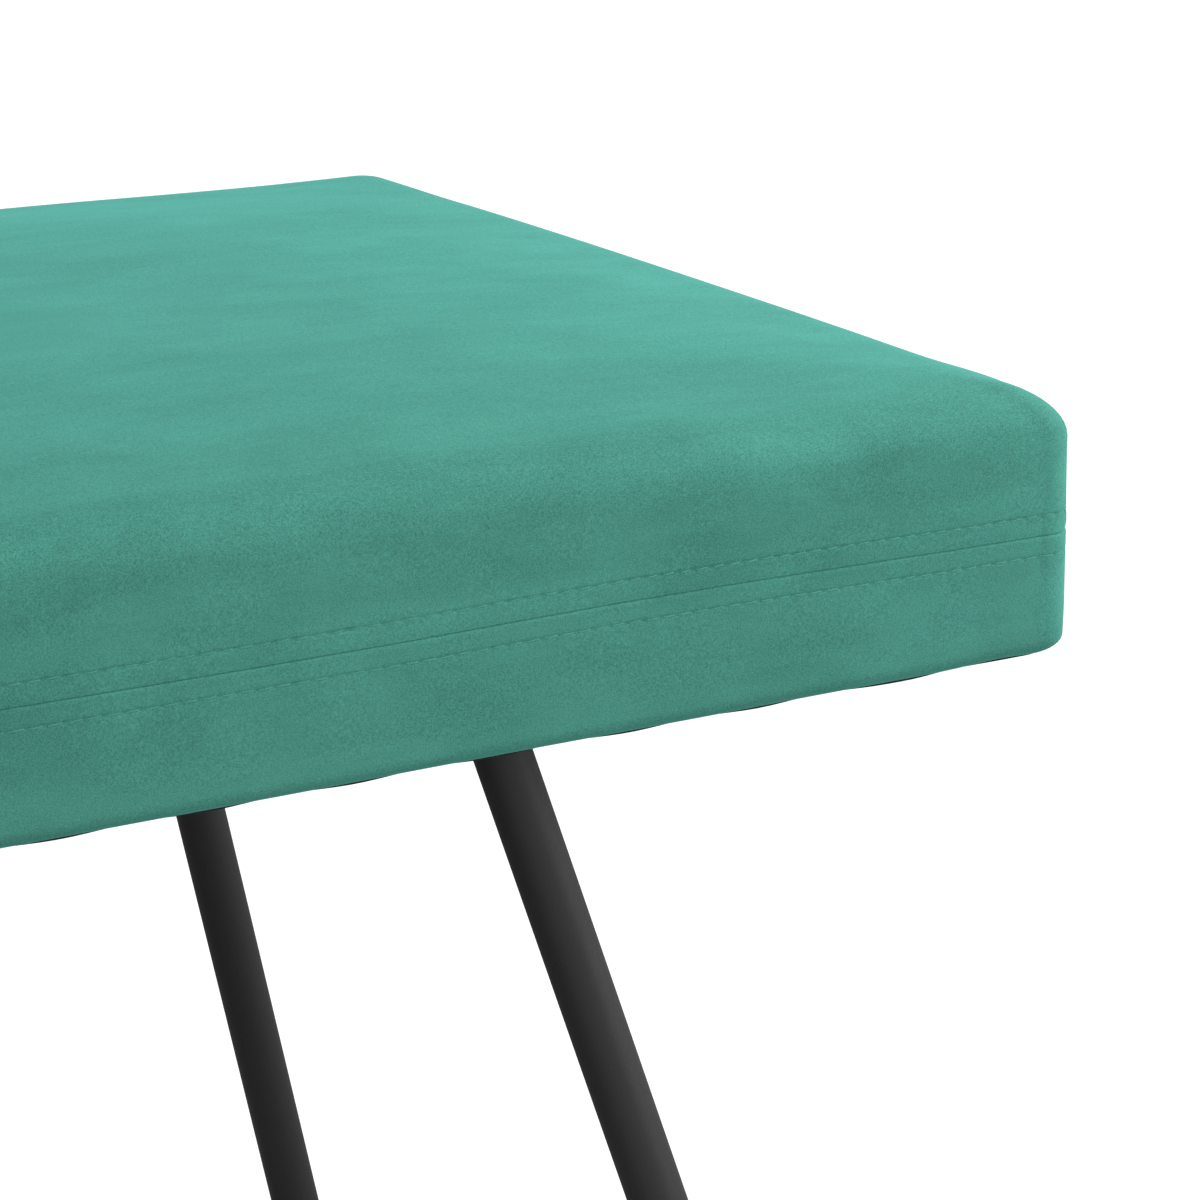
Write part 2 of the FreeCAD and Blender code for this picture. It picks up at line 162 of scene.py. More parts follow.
def seam_shift(s):
    """How far the sewn seam wanders from its nominal level."""
    px = np.array([0, 60, 140, 250, 330, 420, 520, 610, 665, 705, 765, 835, 905, 935, 985,
                   1035, 1061, 1085, 1120, 1200, 1330, 1480, 1560, 1700, 1900, 2100, 2300,
                   2500, 2640, 2760, 2900, 3030])
    pz = np.array([-0.3, 0.1, 0.5, 0.2, -0.4, -0.1, 0.4, 0.2, 0.1, -0.1, -0.5, -0.15, 0.42,
                   0.5, 0.2, -0.6, -0.95, -0.9, -0.4, 0.3, 0.5, 0.0, -0.5, -0.2, 0.5, 0.3,
                   -0.4, 0.2, -0.5, -0.1, 0.4, 0.1])
    s = np.mod(s, LOOP)
    x = np.concatenate([px - LOOP, px, px + LOOP])
    z = np.concatenate([pz, pz, pz])
    fine = np.arange(-40.0, LOOP + 40.0, 4.0)
    v = np.interp(fine, x, z)
    kern = np.exp(-0.5 * (np.arange(-12, 13) * 4.0 / 15.0) ** 2)
    v = np.convolve(np.pad(v, 12, mode="edge"), kern / kern.sum(), mode="valid")
    return np.interp(s, fine, v)


def lip_lift(s):
    """How far the lower edge of the cover stands above its nominal level."""
    px = np.array([0, 12, 30, 60, 150, 260, 380, 500, 620, 705, 750, 800, 845, 880, 911, 941, 965, 989, 1013,
                   1037, 1047, 1058, 1066, 1073, 1082, 1095, 1120, 1200, 1310, 1420, 1500, 1540, 1552,
                   1570, 1600, 1700, 1850, 2000, 2150, 2350, 2500, 2600, 2640, 2652, 2700, 2830, 2960,
                   3060, 3104])
    pz = np.array([0.7, 1.2, 1.1, 0.95, 0.85, 0.75, 0.9, 0.8, 0.8, 0.72, 0.7, 0.6, 0.75, 0.75, 0.7, 0.6, 0.7, 0.75,
                   0.75, 0.7, 1.1, 1.7, 1.7, 1.0, 0.7, 0.6, 0.75, 0.9, 0.8, 0.85, 0.9, 1.2, 0.7,
                   0.6, 1.1, 0.9, 0.8, 0.95, 0.8, 0.9, 0.85, 1.1, 0.6, 0.7, 0.9, 0.8, 0.95,
                   1.2, 0.6])
    s = np.mod(s, LOOP)
    x = np.concatenate([px - LOOP, px, px + LOOP])
    v = np.interp(LIP_FINE, x, np.concatenate([pz, pz, pz]))
    kern = np.exp(-0.5 * (np.arange(-6, 7) * 3.0 / 5.5) ** 2)
    v = np.convolve(np.pad(v, 6, mode="edge"), kern / kern.sum(), mode="valid")
    return np.interp(s, LIP_FINE, v)


LIP_FINE = np.arange(-30.0, LOOP + 30.0, 3.0)


def staple_phase(c_part, s):
    """1 at each staple, -1 halfway between two, round the outline."""
    part, u = BASE.locate(c_part)
    x, y, _, _ = BASE.outline(c_part, 0.0)
    along_x = np.cos(2 * math.pi * (x - STAPLE / 2) / STAPLE)
    along_y = np.cos(2 * math.pi * y / STAPLE)
    side_x = (part == 0) | (part == 4)
    side_y = (part == 2) | (part == 6)
    # round the corners the wave fades into one soft fold
    out = np.where(side_x, along_x, np.where(side_y, along_y, 0.25))
    edge_x = smooth(HX - R_PLAN, HX - R_PLAN - 25, np.abs(x))
    edge_y = smooth(HY - R_PLAN, HY - R_PLAN - 25, np.abs(y))
    out = np.where(side_x, 0.25 + (out - 0.25) * edge_x, out)
    out = np.where(side_y, 0.25 + (out - 0.25) * edge_y, out)
    return out


# ---------------------------------------------------------------------------
# the cover blown up over its filling: a coarse cloth, sewn down at the seam
# and held at the lower edge, inflated by a soft pressure
# ---------------------------------------------------------------------------
def catmull(f, i):
    """Cubic interpolation of the rows of f at fractional row numbers i."""
    n = f.shape[0]
    i = np.clip(i, 0, n - 1)
    k = np.minimum(i.astype(int), n - 2)
    t = (i - k)[:, None]
    a = f[np.maximum(k - 1, 0)]
    b, c = f[k], f[k + 1]
    d = f[np.minimum(k + 2, n - 1)]
    return 0.5 * (2 * b + (c - a) * t + (2 * a - 5 * b + 4 * c - d) * t ** 2
                  + (3 * b - a - 3 * c + d) * t ** 3)


def blur(f, times, wrap=(False, False)):
    for _ in range(times):
        for ax in (0, 1):
            pad = [(0, 0), (0, 0)]
            pad[ax] = (1, 1)
            g = np.pad(f, pad, mode="wrap" if wrap[ax] else "edge")
            lo = np.take(g, range(0, f.shape[ax]), ax)
            mid = np.take(g, range(1, f.shape[ax] + 1), ax)
            hi = np.take(g, range(2, f.shape[ax] + 2), ax)
            f = 0.25 * lo + 0.5 * mid + 0.25 * hi
    return f


SIM_NX, SIM_NY = 88, 36
SIM_IN = 26.0


def sim_rows():
    rows = [(26.0, 449.3), (17.5, 447.8), (9.0, 443.6), (3.0, 437.5)]
    rows += [(0.0, 430.0), (0.0, 423.0), (0.0, 416.0), (0.0, 409.5), (0.0, 403.4)]
    rows += [(0.0, 397.0), (0.0, 390.0), (0.0, 383.0), (0.0, 376.0), (0.0, 369.5),
             (1.5, 363.5), (6.0, 360.0)]
    return rows


def inflate():
    """Rise of the top on a grid over the plan, and bulge of the sides round the loop."""
    xs = np.linspace(-(HX - SIM_IN), HX - SIM_IN, SIM_NX + 1)
    ys = np.linspace(-(HY - SIM_IN), HY - SIM_IN, SIM_NY + 1)
    rows = sim_rows()
    gx, gy = np.meshgrid(xs, ys, indexing="ij")
    top = np.stack([gx, gy, np.full_like(gx, rows[0][1])], -1).reshape(-1, 3)
    idx = np.arange((SIM_NX + 1) * (SIM_NY + 1)).reshape(SIM_NX + 1, SIM_NY + 1)
    ring = np.concatenate([idx[:-1, 0], idx[-1, :-1], idx[:0:-1, -1], idx[0, :0:-1]])
    verts = [top]
    faces = []
    for i in range(SIM_NX):
        for j in range(SIM_NY):
            faces.append((idx[i, j], idx[i + 1, j], idx[i + 1, j + 1], idx[i, j + 1]))
    nr = len(ring)
    rp = top[ring]
    sgn_x, sgn_y = np.sign(rp[:, 0]), np.sign(rp[:, 1])
    on_x = np.abs(np.abs(rp[:, 0]) - (HX - SIM_IN)) < 1e-6
    on_y = np.abs(np.abs(rp[:, 1]) - (HY - SIM_IN)) < 1e-6
    prev = ring
    total = len(top)
    arcs = None
    for inset, z in rows[1:]:
        p = rp.copy()
        r = max(R_PLAN - 0.4 * inset, 2.0)
        lift = 0.2929 * r
        p[:, 0] = np.where(on_x, sgn_x * (HX - inset - np.where(on_y, lift, 0)), rp[:, 0])
        p[:, 1] = np.where(on_y, sgn_y * (HY - inset - np.where(on_x, lift, 0)), rp[:, 1])
        p[:, 2] = z
        verts.append(p)
        cur = np.arange(total, total + nr)
        total += nr
        for k in range(nr):
            m = (k + 1) % nr
            faces.append((cur[k], cur[m], prev[m], prev[k]))
        prev = cur
    v = np.concatenate(verts)
    rest = v.copy()
    me = bpy.data.meshes.new("sim")
    me.from_pydata((v * MM).tolist(), [], [tuple(int(q) for q in f) for f in faces])
    me.update()
    ob = bpy.data.objects.new("sim", me)
    bpy.context.scene.collection.objects.link(ob)
    vg = ob.vertex_groups.new(name="pin")
    z = v[:, 2]
    held = np.where(np.abs(z - 403.4) < 0.1)[0].tolist() + np.where(z < 360.5)[0].tolist()
    vg.add([int(q) for q in held], 1.0, "REPLACE")
    mod = ob.modifiers.new("cloth", "CLOTH")
    st = mod.settings
    st.quality = 6
    st.mass = 0.25
    st.tension_stiffness = 40.0
    st.compression_stiffness = 40.0
    st.shear_stiffness = 12.0
    st.bending_stiffness = 1.5
    st.air_damping = 2.0
    st.use_pressure = True
    st.uniform_pressure_force = 4.0
    st.vertex_group_mass = "pin"
    st.effector_weights.gravity = 0.0
    mod.collision_settings.use_collision = False
    mod.collision_settings.use_self_collision = False
    mod.point_cache.frame_start = 1
    mod.point_cache.frame_end = 20
    scn = bpy.context.scene
    for fr in range(1, 21):
        scn.frame_set(fr)
    dg = bpy.context.evaluated_depsgraph_get()
    em = ob.evaluated_get(dg).to_mesh()
    co = np.zeros(len(em.vertices) * 3)
    em.vertices.foreach_get("co", co)
    v = co.reshape(-1, 3) / MM
    ob.evaluated_get(dg).to_mesh_clear()
    bpy.data.objects.remove(ob, do_unlink=True)
    bpy.data.meshes.remove(me)
    scn.frame_set(1)
    move = v - rest
    n_top = (SIM_NX + 1) * (SIM_NY + 1)
    rise = move[:n_top, 2].reshape(SIM_NX + 1, SIM_NY + 1)
    normals = rp.copy()
    nx_ = np.where(on_x, sgn_x, 0.0)
    ny_ = np.where(on_y, sgn_y, 0.0)
    ln = np.hypot(nx_, ny_)
    nx_, ny_ = nx_ / ln, ny_ / ln
    side = move[n_top:].reshape(len(rows) - 1, nr, 3)
    bulge = side[:, :, 0] * nx_ + side[:, :, 1] * ny_
    print("sim rise max", float(rise.max()), "bulge", float(bulge.min()), float(bulge.max()))
    rise = blur(np.clip(rise, 0, None), 2)
    rise = rise / rise.max()
    bulge = blur(bulge, 1, (False, True))
    bulge = np.clip(bulge / max(np.abs(bulge).max(), 1e-9), -1, 1)
    # arc length of each column, for reading the bulge round the loop
    sx, sy = rp[:, 0], rp[:, 1]
    arcs = np.zeros(nr)
    lx, ly, lc = 2 * (HX - R_PLAN), 2 * (HY - R_PLAN), math.pi / 2 * R_PLAN
    k0, k1, k2 = SIM_NX, SIM_NX + SIM_NY, 2 * SIM_NX + SIM_NY
    for k in range(nr):
        if k < k0:
            arcs[k] = sx[k] + lx / 2
        elif k < k1:
            arcs[k] = lx + lc + (sy[k] + ly / 2)
        elif k < k2:
            arcs[k] = lx + 2 * lc + ly + (lx / 2 - sx[k])
        else:
            arcs[k] = 2 * lx + 3 * lc + ly + (ly / 2 - sy[k])
    arcs[0] = -lc / 2
    arcs[k0] = lx + lc / 2
    arcs[k1] = lx + 1.5 * lc + ly
    arcs[k2] = 2 * lx + 2.5 * lc + ly
    return xs, ys, rise, arcs, bulge, [z for _, z in rows[1:]]


SIM_X, SIM_Y, RISE, SIM_ARC, BULGE, SIM_Z = inflate()


def sim_rise(x, y):
    """0..1 rise of the blown-up top at plan points."""
    shape = np.shape(x)
    i = (np.ravel(x) - SIM_X[0]) / (SIM_X[1] - SIM_X[0])
    j = (np.ravel(y) - SIM_Y[0]) / (SIM_Y[1] - SIM_Y[0])
    i, j = np.clip(i, 0, SIM_NX), np.clip(j, 0, SIM_NY)
    ki = np.minimum(i.astype(int), SIM_NX - 1)
    ti = i - ki
    kj = np.minimum(j.astype(int), SIM_NY - 1)
    tj = j - kj
    pad = np.pad(RISE, 1, mode="edge")

    def w(t):
        return np.stack([-0.5 * t + t ** 2 - 0.5 * t ** 3, 1 - 2.5 * t ** 2 + 1.5 * t ** 3,
                         0.5 * t + 2 * t ** 2 - 1.5 * t ** 3, -0.5 * t ** 2 + 0.5 * t ** 3])

    wi, wj = w(ti), w(tj)
    out = np.zeros(len(i))
    for a in range(4):
        for b in range(4):
            out += wi[a] * wj[b] * pad[ki + a, kj + b]
    return out.reshape(shape)


_fine_arc = np.linspace(0, LOOP, 1200, endpoint=False)
_ext = np.concatenate([SIM_ARC[-3:] - LOOP, SIM_ARC, SIM_ARC[:3] + LOOP])
_tab = np.stack([np.interp(_fine_arc, _ext, np.concatenate([r[-3:], r, r[:3]])) for r in BULGE])
_tab = blur(_tab, 3, (False, True))
_tab[np.abs(np.array(SIM_Z) - 403.4) < 0.1] *= 0.2


def sim_bulge(s, z):
    """-1..1 bulge of the side at arc length s and level z."""
    s, z = np.broadcast_arrays(np.asarray(s, float), np.asarray(z, float))
    shape = s.shape
    zz = np.array(SIM_Z)[::-1]
    row = np.interp(np.ravel(z), zz, np.arange(len(zz)))
    f = _tab[::-1]
    col = np.mod(np.ravel(s), LOOP) / LOOP * 1200
    k = col.astype(int) % 1200
    t = col - np.floor(col)
    n = f.shape[0]
    i = np.clip(row, 0, n - 1)
    ki = np.minimum(i.astype(int), n - 2)
    ti = i - ki

    def at(r):
        r = np.clip(r, 0, n - 1)
        return f[r, k] * (1 - t) + f[r, (k + 1) % 1200] * t

    a, b, c, d = at(ki - 1), at(ki), at(ki + 1), at(ki + 2)
    v = 0.5 * (2 * b + (c - a) * ti + (2 * a - 5 * b + 4 * c - d) * ti ** 2
               + (3 * b - a - 3 * c + d) * ti ** 3)
    return v.reshape(shape)


# ---------------------------------------------------------------------------
# the finished shape of the cover
# ---------------------------------------------------------------------------
def crown(x, y):
    """Rise of the top over the rim: the blown-up cloth and the softer fall near the edges."""
    dx = np.clip(HX - np.abs(x), 0, None)
    dy = np.clip(HY - np.abs(y), 0, None)
    fall = (1 - np.exp(-dx / 75.0)) * (1 - np.exp(-dy / 75.0))
    lumps = 0.35 * swell(3, x, y, 260.0, 70.0) * fall
    # the rim stands highest between the corners
    w_long, w_short = np.exp(-dy / 50.0), np.exp(-dx / 50.0)
    w_in = 0.6 * (1 - np.exp(-np.minimum(dx, dy) / 60.0))
    rim_long = RIM_LONG[0] + RIM_LONG[1] * (1 - np.exp(-np.clip(dx - 35.0, 0, None) / 130.0))
    rim_short = RIM_SHORT[0] + RIM_SHORT[1] * np.cos(math.pi * y / (2 * HY))
    rim = (w_long * rim_long + w_short * rim_short + w_in * 2.0) / (w_long + w_short + w_in)
    ears = np.zeros(np.shape(x))
    for sx in (-1, 1):
        for sy in (-1, 1):
            amp, back = EARS[sx, sy]
            q = ((x - sx * (HX - 20)) / 27.0) ** 2 + ((y - sy * (HY - back)) / 25.0) ** 2
            ears = ears + amp * np.exp(-q)
    return CROWN * (0.5 * sim_rise(x, y) + 0.5 * fall) + lumps + ears + rim


def side_out(s, z):
    """How far the side stands out of the plain outline (negative is in)."""
    b = 0.75 * sim_bulge(s, z)
    w_top = smooth(366, 378, z)
    b = b + 0.30 * wave(11, s + 0.6 * (z - 400), LOOP, 400.0, 90.0, 0.6) * w_top
    b = b + 0.12 * wave(12, s - 0.9 * (z - 400), LOOP, 90.0, 35.0, 0.4) * w_top
    return b


def stitch_centre(row, s):
    return SEAM + seam_shift(s) + (ROW_UP if row > 0 else ROW_DN)


def hole_wave(s):
    """1 where the thread dives into the cloth, 0 in the middle of a stitch."""
    t = np.mod(s * N_STITCH / LOOP, 1.0)
    d = np.minimum(t, 1 - t)
    return np.exp(-(d / 0.13) ** 2)


def corner_fill(nx, ny, z):
    """The stuffed corners stand out further than their plain radius."""
    return (np.abs(nx) + np.abs(ny) - 1.0) * np.interp(z, [370.0, 394.0, 413.0], [4.4, 4.9, 4.0])


def detail_out(s, z, part_u):
    """Grooves and puckers of the seam, the topstitch rows and the corner seams."""
    zl = z
    out = np.zeros(np.broadcast(s, z).shape)
    hw = hole_wave(s)
    rough = 1.0 + 0.25 * wave(31, s, LOOP, 60.0, 9.0, 0.3)
    for zc, deep in ((SEAM + ROW_UP, 0.62), (SEAM + ROW_DN, 0.56)):
        g = np.exp(-((zl - zc) / 0.52) ** 2)
        out = out - deep * rough * g * (0.5 + 0.5 * hw)
        out = out - 0.06 * hw * np.exp(-((zl - zc) / 1.8) ** 2)
        out = out + 0.05 * np.exp(-((np.abs(zl - zc) - 1.8) / 0.9) ** 2)
    # the seam allowances fill the strip between the rows
    out = out + 0.10 * np.exp(-((np.abs(zl - SEAM) - 3.3) / 1.9) ** 2)
    out = out - 0.10 * np.exp(-((zl - SEAM - 0.6) / 0.9) ** 2) + 0.17 * np.exp(-((zl - SEAM + 1.3) / 0.75) ** 2)
    # corner seam of the cap
    part, u = part_u
    corner = part % 2 == 1
    d = np.where(corner, np.abs(u - 0.5) * (math.pi / 2) * R_PLAN, 99.0)
    up = smooth(SEAM + 0.5, SEAM + 2.5, zl) * (1 - smooth(436, 447, zl))
    out = out + up * (-0.55 * np.exp(-(d / 0.75) ** 2) + 0.16 * np.exp(-((d - 2.2) / 1.1) ** 2))
    return out


def place(c, inset, z, lean, w_crown=0.0, w_detail=1.0, thick=0.0):
    """Points of the cover. inset and z are the plain profile, lean the slope of its
    normal (0 on the side, 90 on the top, -90 below), thick how far inside the cloth."""
    c = np.asarray(c, float)
    s = BASE.arc(c)
    part_u = BASE.locate(c)
    x, y, nx, ny = BASE.outline(c, inset)
    ca, sa = math.cos(math.radians(lean)), math.sin(math.radians(lean))
    side = side_out(s, np.full_like(s, min(max(z, 360.0), 437.0))) * max(ca, 0.0) ** 0.7
    det = detail_out(s, np.full_like(s, z), part_u) * w_detail * max(ca, 0.0)
    # corners of the lower half stand out a little more than the sides
    push = side + det - thick + corner_fill(nx, ny, z) * max(ca, 0.0)
    # and the shoulder of each corner is full
    full = (np.abs(nx) + np.abs(ny) - 1.0) * SHOULDER[part_u[0]]
    bulk = full * max(math.sin(math.radians(2 * lean)), 0.0)
    px = x + nx * ca * (push + bulk)
    py = y + ny * ca * (push + bulk)
    zz = np.full_like(s, z) + sa * bulk
    if w_crown > 0:
        zz = zz + crown(x, y) * w_crown
    near = smooth(366, 390, z) * (1 - smooth(416, 438, z))
    zz = zz + seam_shift(s) * near
    low = 1 - smooth(360.5, 376.0, z)
    if low > 0:
        inward = 1 - smooth(8.0, 24.0, inset)
        zz = zz + lip_lift(s) * low * inward
    zz = zz - thick * (sa if thick else 0.0)
    return np.stack([px, py, zz], -1)


def turn_profile(n):
    """(inset, z, lean, crown weight) from the side over the edge on to the top."""
    out = []
    e = 2 / PROF_N
    for k in range(1, n + 1):
        t = math.pi / 2 * k / n
        cx, sz = math.cos(t), math.sin(t)
        inset = PROF_A * (1 - max(cx, 0.0) ** e)
        rise = sz ** e
        # slope of the curve gives the lean of the normal
        dx = PROF_A * e * max(cx, 1e-6) ** (e - 1) * sz
        dz = PROF_B * e * max(sz, 1e-6) ** (e - 1) * max(cx, 0.0)
        lean = math.degrees(math.atan2(dx, dz)) if k < n else 90.0
        out.append((inset, PROF_Z0 + PROF_B * rise, lean, rise))
    return out


class Shell:
    """A closed cloth built of rows round the outline, at 1, 2 or 4 points a column."""

    def __init__(self, per):
        self.per = per
        self.v, self.f = [], []
        self.count = 0

    def row(self, pts):
        self.v.append(pts)
        ids = np.arange(self.count, self.count + len(pts))
        self.count += len(pts)
        return ids

    def join(self, a, b):
        """Faces between two rows, a before b going up on the outside."""
        na, nb = len(a), len(b)
        if na == nb:
            a1, b1 = np.roll(a, -1), np.roll(b, -1)
            self.f += np.stack([a, a1, b1, b], -1).tolist()
        elif nb == 2 * na:
            a1 = np.roll(a, -1)
            e, o, e1 = b[0::2], b[1::2], np.roll(b[0::2], -1)
            self.f += np.stack([a, a1, e1, o, e], -1).tolist()
        elif na == 2 * nb:
            b1 = np.roll(b, -1)
            e, o, e1 = a[0::2], a[1::2], np.roll(a[0::2], -1)
            self.f += np.stack([e, o, e1, b1, b], -1).tolist()
        else:
            raise ValueError("rows don't match")

    def patch(self, ring, ring_pts, surface, up=True):
        """Fills the ring with a grid whose heights come from surface(x, y)."""
        front, right, rear, left = self.per.ring_to_patch()
        m, n = len(front), len(right)
        P = ring_pts[:, :2]
        F, R, B, L = P[front], P[right], P[rear], P[left]
        u = np.linspace(0, 1, m)[:, None, None]
        w = np.linspace(0, 1, n)[None, :, None]
        grid = ((1 - w) * F[:, None] + w * B[:, None] + (1 - u) * L[None] + u * R[None]
                - (1 - u) * (1 - w) * F[0] - u * (1 - w) * F[-1]
                - (1 - u) * w * B[0] - u * w * B[-1])
        ids = np.full((m, n), -1)
        ids[:, 0], ids[-1, :], ids[:, -1], ids[0, :] = ring[front], ring[right], ring[rear], ring[left]
        inner = grid[1:-1, 1:-1].reshape(-1, 2)
        z = surface(inner[:, 0], inner[:, 1])
        got = self.row(np.column_stack([inner, z]))
        ids[1:-1, 1:-1] = got.reshape(m - 2, n - 2)
        q = np.stack([ids[:-1, :-1], ids[1:, :-1], ids[1:, 1:], ids[:-1, 1:]], -1).reshape(-1, 4)
        if not up:
            q = q[:, ::-1]
        self.f += q.tolist()

    def build(self, name, scale=MM):
        v = np.concatenate(self.v) * scale
        return make_mesh(name, v, self.f)


def make_mesh(name, v, faces, shade=True):
    me = bpy.data.meshes.new(name)
    me.vertices.add(len(v))
    me.vertices.foreach_set("co", np.ascontiguousarray(v, dtype=np.float32).ravel())
    sizes = np.array([len(f) for f in faces])
    loops = np.concatenate([np.asarray(f) for f in faces]).astype(np.int32)
    me.loops.add(len(loops))
    me.loops.foreach_set("vertex_index", loops)
    me.polygons.add(len(faces))
    starts = np.concatenate([[0], np.cumsum(sizes)[:-1]]).astype(np.int32)
    me.polygons.foreach_set("loop_start", starts)
    me.polygons.foreach_set("use_smooth", np.full(len(faces), shade))
    me.update(calc_edges=True)
    me.validate()
    ob = bpy.data.objects.new(name, me)
    bpy.context.scene.collection.objects.link(ob)
    return ob


def columns(level):
    return np.arange(BASE.n * level) / level


COL = {1: columns(1), 2: columns(2), 4: columns(4)}


def build_cap():
    sh = Shell(BASE)
    turn = turn_profile(15)
    flat = [(PROF_A + 3.5, PROF_Z0 + PROF_B, 90.0, 1.0), (PROF_A + 7.0, PROF_Z0 + PROF_B, 90.0, 1.0)]
    rows = []
    # inside of the cloth, from the top border down to the sewn edge
    inner = []
    for inset, z, lean, w in reversed(turn_profile(7)):
        inner.append((1, inset, z, lean, w, CLOTH))
    inner = [(1, flat[-1][0], flat[-1][1], 90.0, 1.0, CLOTH)] + inner
    for z in (429.0, 423.0, 416.5):
        inner.append((1, 0.0, z, 0.0, 0.0, CLOTH))
    inner.append((2, 0.0, 413.0, 0.0, 0.0, CLOTH))
    inner.append((4, 0.0, 409.5, 0.0, 0.0, CLOTH + 0.7))
    inner.append((4, 2.3, 406.0, 0.0, 0.0, 0.4))
    inner.append((4, 3.7, 404.9, 0.0, 0.0, 0.0))
    # outside, from the folded seam up
    outer = [(4, 3.7, 403.41), (4, 2.4, 403.41), (4, 1.3, 403.41), (4, 0.6, 403.43), (4, 0.34, 403.48),
             (4, 0.17, 403.58), (4, 0.07, 403.72), (4, 0.02, 403.9)]
    outer = [(lv, i, z, 0.0, 0.0, 0.0) for lv, i, z in outer]
    for z in (404.3, 404.7, 405.2, 405.8, 406.5, 407.2, 407.8, 408.4, 408.9, 409.3, 409.65, 409.95, 410.2,
              410.45, 410.75, 411.1, 411.5, 412.0, 412.6, 413.3, 414.0):
        outer.append((4, 0.0, z, 0.0, 0.0, 0.0))
    outer.append((2, 0.0, 415.2, 0.0, 0.0, 0.0))
    for z in (416.6, 418.6, 421.0, 423.6, 426.2, 428.7, PROF_Z0):
        outer.append((1, 0.0, z, 0.0, 0.0, 0.0))
    for inset, z, lean, w in turn:
        outer.append((1, inset, z, lean, w, 0.0))
    for inset, z, lean, w in flat:
        outer.append((1, inset, z, lean, w, 0.0))
    prev = first = None
    first_pts = last_pts = None
    for lv, inset, z, lean, w, thick in inner + outer:
        det = 0.0 if thick > 0 else smooth(4.0, 0.2, inset) if lean < 1 else 1.0
        pts = place(COL[lv], inset, z, lean, w, float(det), thick)
        ids = sh.row(pts)
        if prev is None:
            first, first_pts = ids, pts
        else:
            sh.join(prev, ids)
        prev, last_pts = ids, pts
    top_z = PROF_Z0 + PROF_B
    sh.patch(prev, last_pts, lambda x, y: top_z + crown(x, y), True)
    sh.patch(first, first_pts, lambda x, y: top_z + crown(x, y) - CLOTH, False)
    return sh.build("velvet_cap")


def under_turn(n):
    """(inset, z, lean) from the underside round to the side."""
    out = []
    for k in range(1, n + 1):
        t = math.pi / 2 * k / n
        lean = -math.degrees(math.atan2(math.cos(t) / TURN_B, math.sin(t) / TURN_A)) if k < n else 0.0
        out.append((TURN_A * (1 - math.sin(t)), Z0 + TURN_B * (1 - math.cos(t)), lean))
    return out


def build_band():
    sh = Shell(BASE)
    rows = []
    for inset in (30.0, 26.0, 22.0, 18.0, 14.5, 11.5, 9.0, 7.3, 6.2):
        rows.append((1, inset, Z0, -90.0, 0.0))
    for inset, z, lean in under_turn(10):
        rows.append((1, inset, z, lean, 0.0))
    for z in (368.4, 371.0, 374.0, 377.5, 381.2, 384.7, 387.6):
        rows.append((1, 0.0, z, 0.0, 0.0))
    rows.append((2, 0.0, 389.6, 0.0, 0.0))
    for z in (391.2, 392.3, 393.2, 394.0, 394.7, 395.2, 395.6, 395.95, 396.25, 396.5, 396.75, 397.05,
              397.4, 397.8, 398.3, 399.0, 399.7, 400.4, 401.0, 401.6, 402.1, 402.45):
        rows.append((4, 0.0, z, 0.0, 0.0))
    for inset, z in ((0.03, 402.72), (0.10, 402.94), (0.22, 403.12), (0.38, 403.25), (0.65, 403.35),
                     (1.3, 403.39), (2.4, 403.39), (3.7, 403.39)):
        rows.append((4, inset, z, 0.0, 0.0))
    rows.append((4, 3.7, 401.9, 0.0, 0.0))
    rows.append((4, 2.3, 400.8, 0.0, 0.4))
    rows.append((4, 0.0, 397.5, 0.0, CLOTH + 0.7))
    rows.append((2, 0.0, 393.5, 0.0, CLOTH))
    for z in (389.5, 383.0, 376.0):
        rows.append((1, 0.0, z, 0.0, CLOTH))
    for inset, z, lean in reversed(under_turn(5)):
        rows.append((1, inset, z, lean, CLOTH))
    for inset in (9.0, 18.0, 30.0):
        rows.append((1, inset, Z0, -90.0, CLOTH))
    prev = first = None
    for lv, inset, z, lean, thick in rows:
        on_side = abs(lean) < 1 and thick == 0
        det = float(smooth(4.0, 0.2, inset)) if on_side else 0.0
        ids = sh.row(place(COL[lv], inset, z, lean, 0.0, det, thick))
        if prev is None:
            first = ids
        else:
            sh.join(prev, ids)
        prev = ids
    sh.join(prev, first)
    return sh.build("velvet_band")


# ---------------------------------------------------------------------------
# the topstitching: one short thread for every stitch
# ---------------------------------------------------------------------------
def side_columns(s):
    """Column number at arc length s."""
    c = np.linspace(0, BASE.n, BASE.n * 8 + 1)
    a = BASE.arc(c[:-1])
    a = np.append(a, LOOP)
    return np.interp(np.mod(s, LOOP), a, c)


